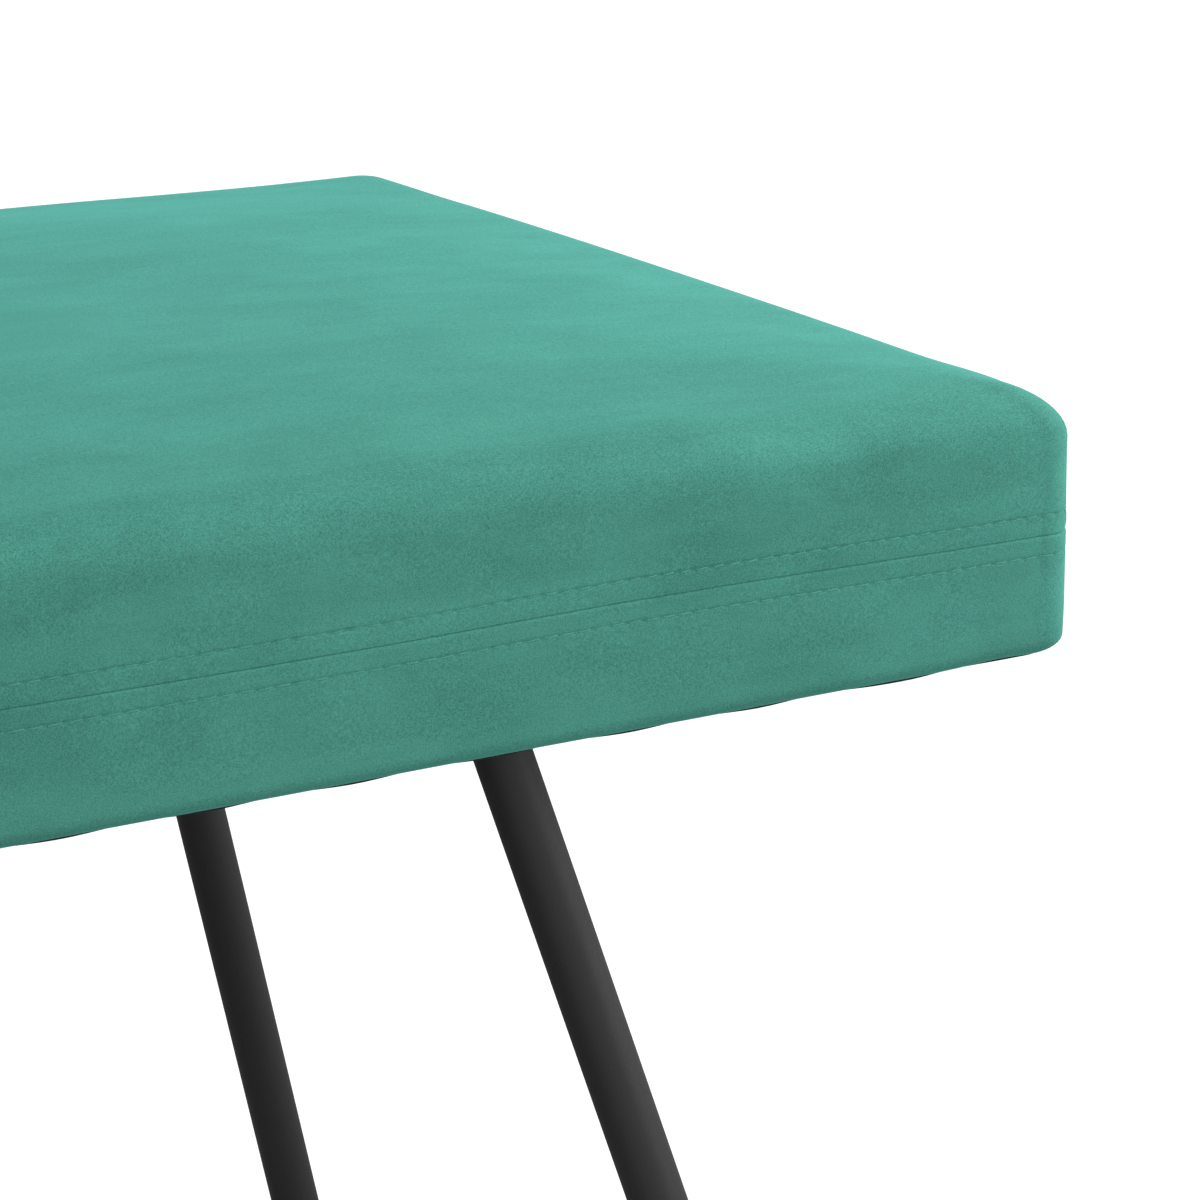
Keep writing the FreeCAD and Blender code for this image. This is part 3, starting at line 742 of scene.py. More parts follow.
def build_stitches(name, row, radius, cover, slant, dive, seat):
    rings, sides = 9, 8
    pitch = LOOP / N_STITCH
    k = np.arange(N_STITCH)
    rng = np.random.default_rng(SEED + 70 + row)
    t = np.linspace(-1, 1, rings)
    half = pitch * cover / 2 * (1 + 0.05 * rng.standard_normal(N_STITCH))
    mid = (k + 0.5) * pitch
    s = mid[:, None] + half[:, None] * t[None]
    zc = stitch_centre(row, s)
    tilt = slant * (1 + 0.35 * rng.standard_normal(N_STITCH))
    z = zc + tilt[:, None] * t[None] + 0.05 * rng.standard_normal(N_STITCH)[:, None]
    z_nom = SEAM + (ROW_UP if row > 0 else ROW_DN) + (z - zc)
    c = side_columns(s)
    x, y, nx, ny = BASE.outline(c, 0.0)
    lift = detail_out(s, z_nom, BASE.locate(c)) + side_out(s, z_nom) + corner_fill(nx, ny, z_nom)
    lift = lift + seat - dive * np.abs(t[None]) ** 3
    p = np.stack([x + nx * lift, y + ny * lift, z], -1)
    tan = np.gradient(p, axis=1)
    tan /= np.linalg.norm(tan, axis=2, keepdims=True)
    out = np.stack([nx, ny, np.zeros_like(nx)], -1)
    side = np.cross(tan, out)
    side /= np.linalg.norm(side, axis=2, keepdims=True)
    out = np.cross(side, tan)
    rad = radius * np.sqrt(np.clip(1 - np.abs(t) ** 6, 0.12, 1))
    ang = np.arange(sides) / sides * 2 * math.pi
    ring = (np.cos(ang)[:, None, None, None] * out[None] * 0.8
            + np.sin(ang)[:, None, None, None] * side[None]) * rad[None, None, :, None]
    v = p[None] + ring                        # sides, stitches, rings, 3
    v = v.transpose(1, 2, 0, 3).reshape(N_STITCH, rings * sides, 3)
    ends = np.stack([p[:, 0] - tan[:, 0] * 0.06, p[:, -1] + tan[:, -1] * 0.06], 1)
    v = np.concatenate([v, ends], 1)
    per = rings * sides + 2
    f = []
    for r in range(rings - 1):
        for q in range(sides):
            a, b = r * sides + q, r * sides + (q + 1) % sides
            f.append((a, b, b + sides, a + sides))
    tri = []
    for q in range(sides):
        a, b = q, (q + 1) % sides
        tri.append((b, a, per - 2))
        tri.append((a + (rings - 1) * sides, b + (rings - 1) * sides, per - 1))
    f = np.array(f)
    tri = np.array(tri)
    off = (np.arange(N_STITCH) * per)[:, None, None]
    faces = (f[None] + off).reshape(-1, 4).tolist() + (tri[None] + off).reshape(-1, 3).tolist()
    return make_mesh(name, v.reshape(-1, 3) * MM, faces)


# ---------------------------------------------------------------------------
# hidden filling: wadding and foam
# ---------------------------------------------------------------------------
SOFT = Perimeter(88, 36, 8, 0.0)


def soft_rows(sh, rows, bulge=0.0):
    c = np.arange(SOFT.n, dtype=float)
    prev = first = None
    keep = []
    for inset, z, w in rows:
        x, y, nx, ny = SOFT.outline(c, inset)
        zz = z + crown(x, y) * w
        pts = np.stack([x, y, zz], -1)
        ids = sh.row(pts)
        if prev is None:
            first = (ids, pts)
        else:
            sh.join(prev, ids)
        prev = ids
        keep = (ids, pts)
    return first, keep


def turn_rows(n, inset0, drop, z_side):
    rows = []
    e = 2 / PROF_N
    for k in range(0, n + 1):
        t = math.pi / 2 * k / n
        cx, sz = max(math.cos(t), 0.0), math.sin(t)
        a, b = PROF_A - inset0 * 0.4, PROF_B - drop + (PROF_Z0 - z_side)
        rows.append((inset0 + a * (1 - cx ** e), z_side + b * sz ** e, sz ** e))
    return rows


def build_wadding():
    sh = Shell(SOFT)
    out_i, in_i = 2.6, 6.3
    rows = []
    inner = turn_rows(6, in_i, 9.4, 425.0)
    rows += [(i, z, w) for i, z, w in reversed(inner)]
    rows += [(in_i, 405.0, 0.0), (in_i, 385.0, 0.0), (in_i, 366.0, 0.0), (in_i, 363.5, 0.0)]
    rows += [(4.2, 362.6, 0.0), (3.1, 364.5, 0.0), (out_i, 368.0, 0.0), (out_i, 385.0, 0.0),
             (out_i + 2.0, 403.4, 0.0), (out_i, 416.0, 0.0)]
    rows += turn_rows(8, out_i, 2.5, 429.0)
    first, last = soft_rows(sh, rows)
    z_in, z_out = first[1][0, 2], last[1][0, 2]
    sh.patch(last[0], last[1], lambda x, y: PROF_Z0 + PROF_B - 2.5 + crown(x, y), True)
    sh.patch(first[0], first[1], lambda x, y: PROF_Z0 + PROF_B - 9.4 + crown(x, y), False)
    return sh.build("wadding_wrap")


def build_foam():
    sh = Shell(SOFT)
    rows = [(7.6, 400.8, 0.0), (7.0, 401.4, 0.0), (6.8, 403.0, 0.0), (6.8, 412.0, 0.0), (6.8, 419.0, 0.0)]
    rows += turn_rows(8, 6.8, 9.7, 424.0)
    first, last = soft_rows(sh, rows)
    sh.patch(last[0], last[1], lambda x, y: PROF_Z0 + PROF_B - 9.7 + crown(x, y), True)
    sh.patch(first[0], first[1], lambda x, y: np.full_like(x, 400.8), False)
    return sh.build("foam_core")


# ---------------------------------------------------------------------------
# the black cloth under the pad, stapled all round
# ---------------------------------------------------------------------------
UNDER = Perimeter(214, 90, 6, 0.0)
UNDER_IN = 7.0


def staple_pull(x, y):
    """1 at each staple and falling off round it."""
    xs = (np.arange(-11, 11) + 0.5) * STAPLE
    xs = xs[np.abs(xs) < 520]
    ys = np.arange(-4, 5) * STAPLE
    ax, ay = HX - 22.0, HY - 22.0
    near_x = np.round((x - STAPLE / 2) / STAPLE) * STAPLE + STAPLE / 2
    near_x = np.clip(near_x, xs[0], xs[-1])
    near_y = np.clip(np.round(y / STAPLE) * STAPLE, ys[0], ys[-1])
    d1 = np.hypot(x - near_x, (np.abs(y) - ay) * 0.75)
    d2 = np.hypot(y - near_y, (np.abs(x) - ax) * 0.75)
    d = np.minimum(d1, d2)
    return np.exp(-(d / 9.5) ** 2)


def under_z(x, y, lower):
    """Height of the upper or lower face of the black cloth."""
    inset = np.minimum(HX - np.abs(x), HY - np.abs(y))
    pull = staple_pull(x, y)
    c = np.where(HY - np.abs(y) < HX - np.abs(x), np.cos(2 * math.pi * (x - STAPLE / 2) / STAPLE),
                 np.cos(2 * math.pi * y / STAPLE))
    edge = 1 - smooth(9.0, 24.0, inset)
    margin = 1 - smooth(24.0, 70.0, inset)
    # the free edge hugs the cover at the staples and hangs a little between them
    sx = np.where(HY - np.abs(y) < HX - np.abs(x), np.where(y < 0, x + FRONT0, FRONT0 - x + 1567.1),
                  np.where(x > 0, y + 225.0 + 1093.6, 225.0 - y + 2660.7))
    top = 360.0 + edge * lip_lift(sx)
    droop = 0.55 * np.exp(-((sx - 1028.0) / 10.0) ** 2) + 0.4 * np.exp(-((sx - 2120.0) / 14.0) ** 2)
    # how far the black cloth sags below the cover
    cloth_sag_and_slope_shade = edge * (0.61 - 0.45 * c + droop) + (1 - edge) * margin * (0.9 * (1 - pull) * (0.5 - 0.3 * c))
    fan = margin * (1 - edge) * 0.25 * np.cos(2 * math.pi * (x + 0.3 * y) / 17.0) * (1 - pull)
    middle = (1 - margin) * (0.35 + 0.30 * swell(21, x, y, 220.0, 60.0))
    thick = 0.35 + 0.35 * (1 - smooth(24.0, 32.0, inset))
    thick = thick * (0.55 + 0.45 * smooth(7.0, 9.0, inset))
    up = top - 0.05 - cloth_sag_and_slope_shade - np.abs(fan) - np.clip(middle, 0, None)
    return up - thick if lower else up


def build_under():
    sh = Shell(UNDER)
    c = np.arange(UNDER.n, dtype=float)
    rad = lambda i: np.maximum(8.0 - 0.3 * (i - UNDER_IN), 1.5)
    order = [(70.0, 0), (52.0, 0), (40.0, 0), (32.0, 0), (27.0, 0), (24.0, 0), (22.0, 0), (20.0, 0),
             (17.0, 0), (14.0, 0), (11.0, 0), (9.0, 0), (7.8, 0), (7.15, 0), (7.15, 1), (7.8, 1), (9.0, 1),
             (11.0, 1), (14.0, 1), (17.0, 1), (20.0, 1), (22.0, 1), (24.0, 1), (27.0, 1), (32.0, 1),
             (40.0, 1), (52.0, 1), (70.0, 1)]
    prev = first = last = None
    for inset, lower in [(i, 1 - w) for i, w in order]:
        x, y, nx, ny = UNDER.outline(c, inset, rad(inset))
        z = under_z(x, y, bool(lower))
        if abs(inset - 7.15) < 1e-6:
            z = z + (0.06 if lower else -0.06)
        pts = np.stack([x, y, z], -1)
        ids = sh.row(pts)
        if prev is None:
            first = (ids, pts)
        else:
            sh.join(prev, ids)
        prev, last = ids, (ids, pts)
    sh.patch(last[0], last[1], lambda x, y: under_z(x, y, False), True)
    sh.patch(first[0], first[1], lambda x, y: under_z(x, y, True), False)
    return sh.build("dust_cloth_sheet")


cap = build_cap()
band = build_band()
stitch_up = build_stitches("topstitch_upper_thread", 1, 0.28, 0.76, 0.20, 0.45, 0.16)
stitch_dn = build_stitches("topstitch_lower_thread", -1, 0.27, 0.88, 0.10, 0.35, 0.12)
wadding = build_wadding()
foam = build_foam()
under = build_under()


# ---------------------------------------------------------------------------
# materials
# ---------------------------------------------------------------------------
class Mat:
    """Small helper for node materials."""

    def __init__(self, name):
        self.m = bpy.data.materials.new(name)
        self.m.use_nodes = True
        self.t = self.m.node_tree
        self.bsdf = self.t.nodes["Principled BSDF"]
        self.out = self.t.nodes["Material Output"]
        tc = self.new("ShaderNodeTexCoord")
        self.co = tc.outputs["Object"]

    def new(self, kind, **props):
        n = self.t.nodes.new(kind)
        for k, v in props.items():
            setattr(n, k, v)
        return n

    def link(self, a, b):
        self.t.links.new(a, b)

    def put(self, node, name, v):
        sock = node.inputs[name]
        if isinstance(v, bpy.types.NodeSocket):
            self.link(v, sock)
        else:
            sock.default_value = v

    def const(self, **kw):
        for k, v in kw.items():
            self.bsdf.inputs[k.replace("_", " ")].default_value = v

    def scaled(self, scale, rot=(0, 0, 0), loc=(0, 0, 0), src=None):
        n = self.new("ShaderNodeMapping")
        n.inputs["Scale"].default_value = scale
        n.inputs["Rotation"].default_value = rot
        n.inputs["Location"].default_value = loc
        self.link(src or self.co, n.inputs["Vector"])
        return n.outputs["Vector"]

    def noise(self, vec, scale, detail=2.0, rough=0.5, distort=0.0, color=False):
        n = self.new("ShaderNodeTexNoise")
        self.link(vec, n.inputs["Vector"])
        n.inputs["Scale"].default_value = scale
        n.inputs["Detail"].default_value = detail
        n.inputs["Roughness"].default_value = rough
        n.inputs["Distortion"].default_value = distort
        return n.outputs["Color"] if color else n.outputs["Fac"]

    def math(self, op, a, b=None, c=None, clamp=False):
        n = self.new("ShaderNodeMath", operation=op, use_clamp=clamp)
        for i, v in enumerate((a, b, c)):
            if v is not None:
                if isinstance(v, bpy.types.NodeSocket):
                    self.link(v, n.inputs[i])
                else:
                    n.inputs[i].default_value = v
        return n.outputs[0]

    def span(self, v, a, b, c, d, clamp=True):
        n = self.new("ShaderNodeMapRange", clamp=clamp)
        self.link(v, n.inputs["Value"])
        for k, x in zip(("From Min", "From Max", "To Min", "To Max"), (a, b, c, d)):
            n.inputs[k].default_value = x
        return n.outputs["Result"]

    def ramp(self, v, stops, mode="LINEAR"):
        n = self.new("ShaderNodeValToRGB")
        n.color_ramp.interpolation = mode
        e = n.color_ramp.elements
        while len(e) > 1:
            e.remove(e[-1])
        e[0].position, e[0].color = stops[0][0], (*stops[0][1], 1)
        for p, col in stops[1:]:
            q = e.new(p)
            q.color = (*col, 1)
        self.link(v, n.inputs["Fac"])
        return n.outputs["Color"]

    def mix(self, f, a, b, blend="MIX"):
        n = self.new("ShaderNodeMix", data_type="RGBA", blend_type=blend)
        for name, v in (("Factor", f), ("A", a), ("B", b)):
            sock = [s for s in n.inputs if s.name == name and s.enabled][0]
            if isinstance(v, bpy.types.NodeSocket):
                self.link(v, sock)
            elif name == "Factor":
                sock.default_value = v
            else:
                sock.default_value = (*v, 1)
        return [s for s in n.outputs if s.enabled][0]

    def bump(self, h, dist, strength=1.0, normal=None):
        n = self.new("ShaderNodeBump")
        n.inputs["Strength"].default_value = strength
        n.inputs["Distance"].default_value = dist
        self.link(h, n.inputs["Height"])
        if normal is not None:
            self.link(normal, n.inputs["Normal"])
        return n.outputs["Normal"]


def mul(c, k):
    return tuple(max(0.0, min(1.0, v * k)) for v in c)


VELVET_RGB = (0.0636, 0.250, 0.1976)


def velvet_material(name="velvet_teal", rgb=VELVET_RGB):
    m = Mat(name)
    warp = m.noise(m.scaled((7.0, 7.0, 7.0)), 1.0, 2.0, 0.5, color=True)
    w = m.new("ShaderNodeVectorMath", operation="MULTIPLY_ADD")
    m.link(warp, w.inputs[0])
    w.inputs[1].default_value = (0.03, 0.03, 0.02)
    m.link(m.co, w.inputs[2])
    wv = w.outputs[0]
    # nap brushed in cloudy patches, with streaks along the length
    cloud = m.noise(m.scaled((22, 30, 30), src=wv), 1.0, 3.0, 0.55, 0.4)
    streak = m.noise(m.scaled((16, 90, 90), src=wv), 1.0, 4.0, 0.6, 0.6)
    patch = m.noise(m.scaled((7, 9, 9), loc=(3.1, 0.7, 0)), 1.0, 2.0, 0.5, 0.2)
    # pile fibres: fine points, stronger where the pile lies down on the top
    pile = m.noise(m.scaled((1900, 1900, 2100)), 1.0, 1.0, 0.6)
    grit = m.noise(m.scaled((620, 620, 700)), 1.0, 2.0, 0.6)
    geo = m.new("ShaderNodeNewGeometry")
    sep_n = m.new("ShaderNodeSeparateXYZ")
    m.link(geo.outputs["Normal"], sep_n.inputs[0])
    lay = m.span(sep_n.outputs["Z"], 0.3, 0.97, 1.0, 1.35)
    # painted shade: the tone is made darker on the sides and most of all on the shoulder, following the slope of
    # the surface, standing in for the lesser light that falls there
    cloth_sag_and_slope_shade = m.math("ADD", m.span(sep_n.outputs["Z"], 0.02, 0.12, -0.045, -0.068),
                  m.span(sep_n.outputs["Z"], 0.40, 0.85, 0.0, 0.068))
    f = m.math("MULTIPLY_ADD", cloud, 0.9, m.math("MULTIPLY", streak, 0.55))
    f = m.math("MULTIPLY_ADD", patch, 0.5, f)
    f = m.span(f, 0.62, 1.33, -1.0, 1.0)
    g = m.math("MULTIPLY_ADD", m.span(pile, 0.2, 0.8, -1, 1), 0.150,
               m.math("MULTIPLY", m.span(grit, 0.25, 0.75, -1, 1), 0.032))
    tone = m.math("MULTIPLY_ADD", f, 0.088, m.math("MULTIPLY", g, lay))
    # the painted slope shade is added to the tone here
    tone = m.math("ADD", m.math("ADD", tone, 0.5), cloth_sag_and_slope_shade)
    base = m.ramp(tone, [(0.20, mul(rgb, 0.45)), (0.5, rgb), (0.80, mul(rgb, 1.60))])
    # a few pale specks of lint
    vor = m.new("ShaderNodeTexVoronoi", feature="F1")
    m.link(m.co, vor.inputs["Vector"])
    vor.inputs["Scale"].default_value = 34.0
    speck = m.span(vor.outputs["Distance"], 0.012, 0.022, 1.0, 0.0)
    sep = m.new("ShaderNodeSeparateColor")
    m.link(vor.outputs["Color"], sep.inputs[0])
    some = m.math("GREATER_THAN", sep.outputs[0], 0.72)
    base = m.mix(m.math("MULTIPLY", m.math("MULTIPLY", speck, some), 0.7), base, mul(rgb, 2.6))
    m.link(base, m.bsdf.inputs["Base Color"])
    m.link(m.span(tone, 0.35, 0.65, 0.92, 0.80), m.bsdf.inputs["Roughness"])
    m.const(Sheen_Weight=0.335, Sheen_Roughness=0.40, Sheen_Tint=(0.24, 1.0, 0.88, 1.0),
            Specular_IOR_Level=0.03)
    h = m.math("MULTIPLY_ADD", pile, 0.35, m.math("MULTIPLY", grit, 0.5))
    h = m.math("MULTIPLY_ADD", streak, 0.5, h)
    m.link(m.bump(h, 0.0003, 0.4), m.bsdf.inputs["Normal"])
    return m.m


def thread_material():
    m = Mat("thread_teal")
    twist = m.new("ShaderNodeTexWave", wave_type="BANDS", bands_direction="DIAGONAL")
    m.link(m.co, twist.inputs["Vector"])
    twist.inputs["Scale"].default_value = 620.0
    twist.inputs["Distortion"].default_value = 1.5
    n = m.noise(m.scaled((160, 160, 160)), 1.0, 2.0)
    f = m.math("MULTIPLY_ADD", twist.outputs["Fac"], 0.5, m.math("MULTIPLY", n, 0.5))
    col = m.ramp(f, [(0.1, mul(VELVET_RGB, 0.90)), (0.9, mul(VELVET_RGB, 1.34))])
    m.link(col, m.bsdf.inputs["Base Color"])
    m.link(m.span(f, 0, 1, 0.72, 0.58), m.bsdf.inputs["Roughness"])
    m.const(Sheen_Weight=0.15, Sheen_Roughness=0.4, Sheen_Tint=(0.31, 1.0, 0.87, 1.0),
            Specular_IOR_Level=0.10)
    m.link(m.bump(f, 0.0001, 0.5), m.bsdf.inputs["Normal"])
    return m.m


def powder_coat():
    m = Mat("powder_coat_black")
    peel = m.noise(m.scaled((420, 420, 420)), 1.0, 3.0, 0.6)
    fine = m.noise(m.scaled((1900, 1900, 1900)), 1.0, 2.0, 0.6)
    big = m.noise(m.scaled((14, 14, 6)), 1.0, 3.0, 0.5)
    f = m.math("MULTIPLY_ADD", big, 0.55, m.math("MULTIPLY", fine, 0.45))
    col = m.ramp(f, [(0.30, (0.0135, 0.0133, 0.0133)), (0.70, (0.0215, 0.0212, 0.0212))])
    m.link(col, m.bsdf.inputs["Base Color"])
    m.link(m.span(big, 0.3, 0.7, 0.62, 0.54), m.bsdf.inputs["Roughness"])
    m.const(Specular_IOR_Level=0.40, Sheen_Weight=0.09, Sheen_Roughness=0.35)
    h = m.math("MULTIPLY_ADD", peel, 0.7, m.math("MULTIPLY", fine, 0.4))
    m.link(m.bump(h, 0.00012, 0.45), m.bsdf.inputs["Normal"])
    return m.m


def black_plastic():
    m = Mat("plastic_black")
    tex = m.noise(m.scaled((1500, 1500, 1500)), 1.0, 2.0, 0.6)
    big = m.noise(m.scaled((30, 30, 30)), 1.0, 2.0, 0.5)
    col = m.ramp(big, [(0.3, (0.010, 0.010, 0.011)), (0.7, (0.017, 0.017, 0.018))])
    m.link(col, m.bsdf.inputs["Base Color"])
    m.link(m.span(tex, 0.3, 0.7, 0.66, 0.52), m.bsdf.inputs["Roughness"])
    m.const(Specular_IOR_Level=0.4)
    m.link(m.bump(tex, 0.0001, 0.5), m.bsdf.inputs["Normal"])
    return m.m


def black_bolt():
    m = Mat("bolt_black_oxide")
    big = m.noise(m.scaled((180, 180, 180)), 1.0, 3.0, 0.6)
    turn = m.noise(m.scaled((900, 900, 2600)), 1.0, 2.0, 0.5)
    col = m.ramp(big, [(0.3, (0.020, 0.020, 0.023)), (0.7, (0.042, 0.042, 0.046))])
    m.link(col, m.bsdf.inputs["Base Color"])
    m.const(Metallic=0.85)
    m.link(m.span(big, 0.3, 0.7, 0.48, 0.33), m.bsdf.inputs["Roughness"])
    m.link(m.bump(turn, 0.00005, 0.4), m.bsdf.inputs["Normal"])
    return m.m


def zinc():
    m = Mat("zinc_plated")
    big = m.noise(m.scaled((220, 220, 220)), 1.0, 3.0, 0.6)
    col = m.ramp(big, [(0.3, (0.46, 0.46, 0.44)), (0.55, (0.60, 0.60, 0.58)), (0.75, (0.62, 0.58, 0.48))])
    m.link(col, m.bsdf.inputs["Base Color"])
    m.const(Metallic=0.95)
    m.link(m.span(big, 0.3, 0.7, 0.42, 0.28), m.bsdf.inputs["Roughness"])
    m.link(m.bump(big, 0.0001, 0.3), m.bsdf.inputs["Normal"])
    return m.m


def staple_wire():
    m = Mat("staple_wire")
    line = m.noise(m.scaled((600, 600, 600)), 1.0, 3.0, 0.6)
    col = m.ramp(line, [(0.3, (0.38, 0.38, 0.37)), (0.7, (0.62, 0.61, 0.58))])
    m.link(col, m.bsdf.inputs["Base Color"])
    m.const(Metallic=0.95)
    m.link(m.span(line, 0.3, 0.7, 0.45, 0.28), m.bsdf.inputs["Roughness"])
    m.link(m.bump(line, 0.00005, 0.4), m.bsdf.inputs["Normal"])
    return m.m


def wood(name, light, dark, along=(3.0, 42.0, 42.0), rings=26.0, ply=False):
    m = Mat(name)
    warp = m.noise(m.scaled((2.0, 9.0, 9.0)), 1.0, 2.0, 0.5, color=True)
    w = m.new("ShaderNodeVectorMath", operation="MULTIPLY_ADD")
    m.link(warp, w.inputs[0])
    w.inputs[1].default_value = (0.05, 0.02, 0.02)
    m.link(m.co, w.inputs[2])
    band = m.new("ShaderNodeTexWave", wave_type="BANDS", bands_direction="Z" if ply else "Y")
    m.link(w.outputs[0], band.inputs["Vector"])
    band.inputs["Scale"].default_value = 110.0 if ply else rings
    band.inputs["Distortion"].default_value = 0.6 if ply else 3.0
    band.inputs["Detail"].default_value = 2.0
    fibre = m.noise(m.scaled(along, src=w.outputs[0]), 6.0, 4.0, 0.6)
    pores = m.noise(m.scaled((30, 900, 900)), 1.0, 2.0, 0.6)
    f = m.math("MULTIPLY_ADD", band.outputs["Fac"], 0.5, m.math("MULTIPLY", fibre, 0.5))
    col = m.ramp(f, [(0.15, light), (0.55, mul(light, 0.86)), (0.9, dark)])
    col = m.mix(m.span(pores, 0.55, 0.8, 0.0, 0.35), col, mul(dark, 0.7))
    m.link(col, m.bsdf.inputs["Base Color"])
    m.link(m.span(f, 0, 1, 0.78, 0.62), m.bsdf.inputs["Roughness"])
    h = m.math("MULTIPLY_ADD", f, 0.5, pores)
    m.link(m.bump(h, 0.0003, 0.4), m.bsdf.inputs["Normal"])
    return m.m


def dust_cloth():
    m = Mat("dust_cloth_black")
    fib = m.noise(m.scaled((700, 700, 700)), 1.0, 3.0, 0.7, 1.2)
    cell = m.new("ShaderNodeTexVoronoi", feature="F1")
    m.link(m.co, cell.inputs["Vector"])
    cell.inputs["Scale"].default_value = 900.0
    cloud = m.noise(m.scaled((25, 25, 25)), 1.0, 3.0, 0.5)
    f = m.math("MULTIPLY_ADD", fib, 0.6, m.math("MULTIPLY", cloud, 0.4))
    col = m.ramp(f, [(0.3, (0.0125, 0.0105, 0.0110)), (0.7, (0.026, 0.0225, 0.0235))])
    m.link(col, m.bsdf.inputs["Base Color"])
    m.link(m.span(fib, 0.3, 0.7, 0.95, 0.78), m.bsdf.inputs["Roughness"])
    m.const(Specular_IOR_Level=0.2, Sheen_Weight=0.12, Sheen_Roughness=0.5)
    h = m.math("MULTIPLY_ADD", cell.outputs["Distance"], 0.6, m.math("MULTIPLY", fib, 0.6))
    m.link(m.bump(h, 0.0002, 0.5), m.bsdf.inputs["Normal"])
    return m.m


def fluff(name, light, dark, scale, dist):
    m = Mat(name)
    a = m.noise(m.scaled((scale, scale, scale)), 1.0, 4.0, 0.7, 0.8)
    cell = m.new("ShaderNodeTexVoronoi", feature="F1")
    m.link(m.co, cell.inputs["Vector"])
    cell.inputs["Scale"].default_value = scale * 1.6
    f = m.math("MULTIPLY_ADD", a, 0.6, m.math("MULTIPLY", cell.outputs["Distance"], 0.4))
    m.link(m.ramp(f, [(0.2, dark), (0.7, light)]), m.bsdf.inputs["Base Color"])
    m.link(m.span(a, 0.3, 0.7, 0.96, 0.84), m.bsdf.inputs["Roughness"])
    m.link(m.bump(f, dist, 0.6), m.bsdf.inputs["Normal"])
    return m.m


mats = {
    "velvet": velvet_material(),
    "thread": thread_material(),
    "wadding": fluff("wadding_white", (0.82, 0.82, 0.80), (0.60, 0.60, 0.58), 120.0, 0.002),
    "foam": fluff("foam_cream", (0.78, 0.70, 0.48), (0.52, 0.44, 0.26), 420.0, 0.0006),
    "plywood": wood("plywood_birch", (0.62, 0.45, 0.26), (0.36, 0.22, 0.10), ply=True),
    "pine": wood("pine_wood", (0.68, 0.49, 0.28), (0.42, 0.25, 0.11)),
    "zinc_steel": zinc(),
    "staple_wire": staple_wire(),
    "dust_cloth": dust_cloth(),
    "black_powder_coat": powder_coat(),
    "black_bolt": black_bolt(),
    "black_plastic": black_plastic(),
}

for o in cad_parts.values():
    for ms in o.material_slots:
        key = ms.material.name.split(".")[0] if ms.material else ""
        if key in mats:
            ms.material = mats[key]

for ob, slot_name, node in (
    (cap, "velvet", "velvet_top_cover"), (band, "velvet", "velvet_side_band"),
    (stitch_up, "thread", "topstitch_upper"), (stitch_dn, "thread", "topstitch_lower"),
    (wadding, "wadding", "wadding_layer"), (foam, "foam", "foam_pad"),
    (under, "dust_cloth", "dust_cover"),
):
    ob.data.materials.append(mats[slot_name])
    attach(ob, "root")
    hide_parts(node)

# ---------------------------------------------------------------------------
# floor, light and camera
# ---------------------------------------------------------------------------
scn = bpy.context.scene
scn.view_settings.view_transform = "Standard"
scn.view_settings.look = "None"
scn.view_settings.exposure = 0.0
scn.view_settings.gamma = 1.0


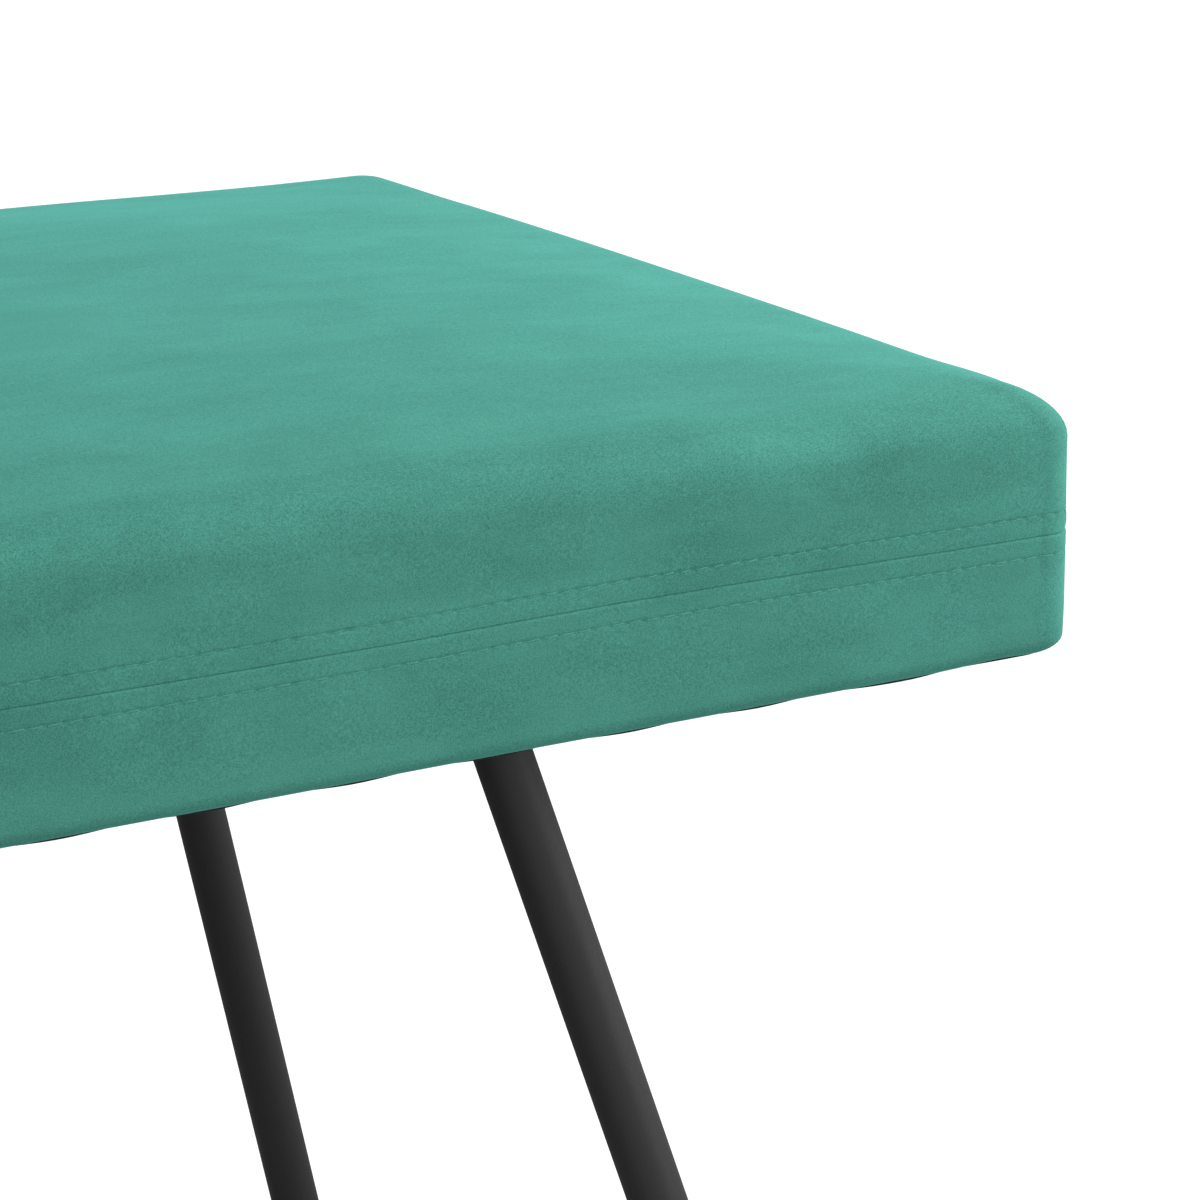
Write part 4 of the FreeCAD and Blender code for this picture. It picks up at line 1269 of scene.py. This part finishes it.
def floor():
    me = bpy.data.meshes.new("studio_floor")
    r = 14.0
    me.from_pydata([(-r, -r, -0.0005), (r, -r, -0.0005), (r, r, -0.0005), (-r, r, -0.0005)], [], [(0, 1, 2, 3)])
    ob = bpy.data.objects.new("studio_floor", me)
    scn.collection.objects.link(ob)
    m = bpy.data.materials.new("studio_floor")
    m.use_nodes = True
    t = m.node_tree
    t.nodes.clear()
    out = t.nodes.new("ShaderNodeOutputMaterial")
    dif = t.nodes.new("ShaderNodeBsdfDiffuse")
    dif.inputs["Color"].default_value = (0.20, 0.20, 0.20, 1)
    em = t.nodes.new("ShaderNodeEmission")
    lp = t.nodes.new("ShaderNodeLightPath")
    rng = t.nodes.new("ShaderNodeMapRange")
    t.links.new(lp.outputs["Is Camera Ray"], rng.inputs["Value"])
    rng.inputs["To Min"].default_value = 0.0
    rng.inputs["To Max"].default_value = 1.0
    t.links.new(rng.outputs["Result"], em.inputs["Strength"])
    add = t.nodes.new("ShaderNodeAddShader")
    t.links.new(dif.outputs[0], add.inputs[0])
    t.links.new(em.outputs[0], add.inputs[1])
    # seen from below the floor is clear, so that the underside can be looked at
    geo = t.nodes.new("ShaderNodeNewGeometry")
    clear = t.nodes.new("ShaderNodeBsdfTransparent")
    mix = t.nodes.new("ShaderNodeMixShader")
    t.links.new(geo.outputs["Backfacing"], mix.inputs[0])
    t.links.new(add.outputs[0], mix.inputs[1])
    t.links.new(clear.outputs[0], mix.inputs[2])
    t.links.new(mix.outputs[0], out.inputs["Surface"])
    ob.data.materials.append(m)
    return ob


floor()

world = bpy.data.worlds.new("studio")
world.use_nodes = True
bg = world.node_tree.nodes["Background"]
bg.inputs["Color"].default_value = (1.0, 1.0, 1.0, 1)
bg.inputs["Strength"].default_value = 0.61
scn.world = world


def area(name, loc, target, size_x, size_y, power, color=(1, 1, 1)):
    li = bpy.data.lights.new(name, "AREA")
    li.shape = "RECTANGLE"
    li.size, li.size_y = size_x, size_y
    li.energy = power
    li.color = color
    ob = bpy.data.objects.new(name, li)
    ob.location = loc
    d = Vector(target) - Vector(loc)
    ob.rotation_euler = d.to_track_quat("-Z", "Y").to_euler()
    scn.collection.objects.link(ob)
    return ob


area("softbox_front", (-0.3, -3.6, 0.9), (0.3, 0.0, 0.42), 2.2, 2.2, 22.6)
area("softbox_left", (-2.6, -2.6, 1.2), (0.3, 0.0, 0.42), 2.0, 2.0, 40.5)
area("softbox_right", (1.5, -0.3, 0.9), (0.3, 0.0, 0.42), 0.8, 0.8, 11.4)
area("softbox_corner", (1.2, -1.1, 0.6), (0.3, 0.0, 0.42), 0.7, 0.7, 6.3)

YAW, PITCH = math.radians(30.897), math.radians(16.333)
cam_data = bpy.data.cameras.new("camera")
cam_data.sensor_fit = "HORIZONTAL"
cam_data.sensor_width = 36.0
cam_data.lens = 4048.9 * 36.0 / 1200.0
cam_data.clip_start = 0.01
cam_data.clip_end = 60.0
cam = bpy.data.objects.new("camera", cam_data)
cam.location = (-0.2386, -1.2533, 0.7522)
fwd = Vector((math.sin(YAW) * math.cos(PITCH), math.cos(YAW) * math.cos(PITCH), -math.sin(PITCH)))
right = Vector((math.cos(YAW), -math.sin(YAW), 0.0))
upv = right.cross(fwd)
rot = Matrix((right, upv, -fwd)).transposed()
cam.rotation_euler = rot.to_euler()
scn.collection.objects.link(cam)
scn.camera = cam

bpy.context.view_layer.update()
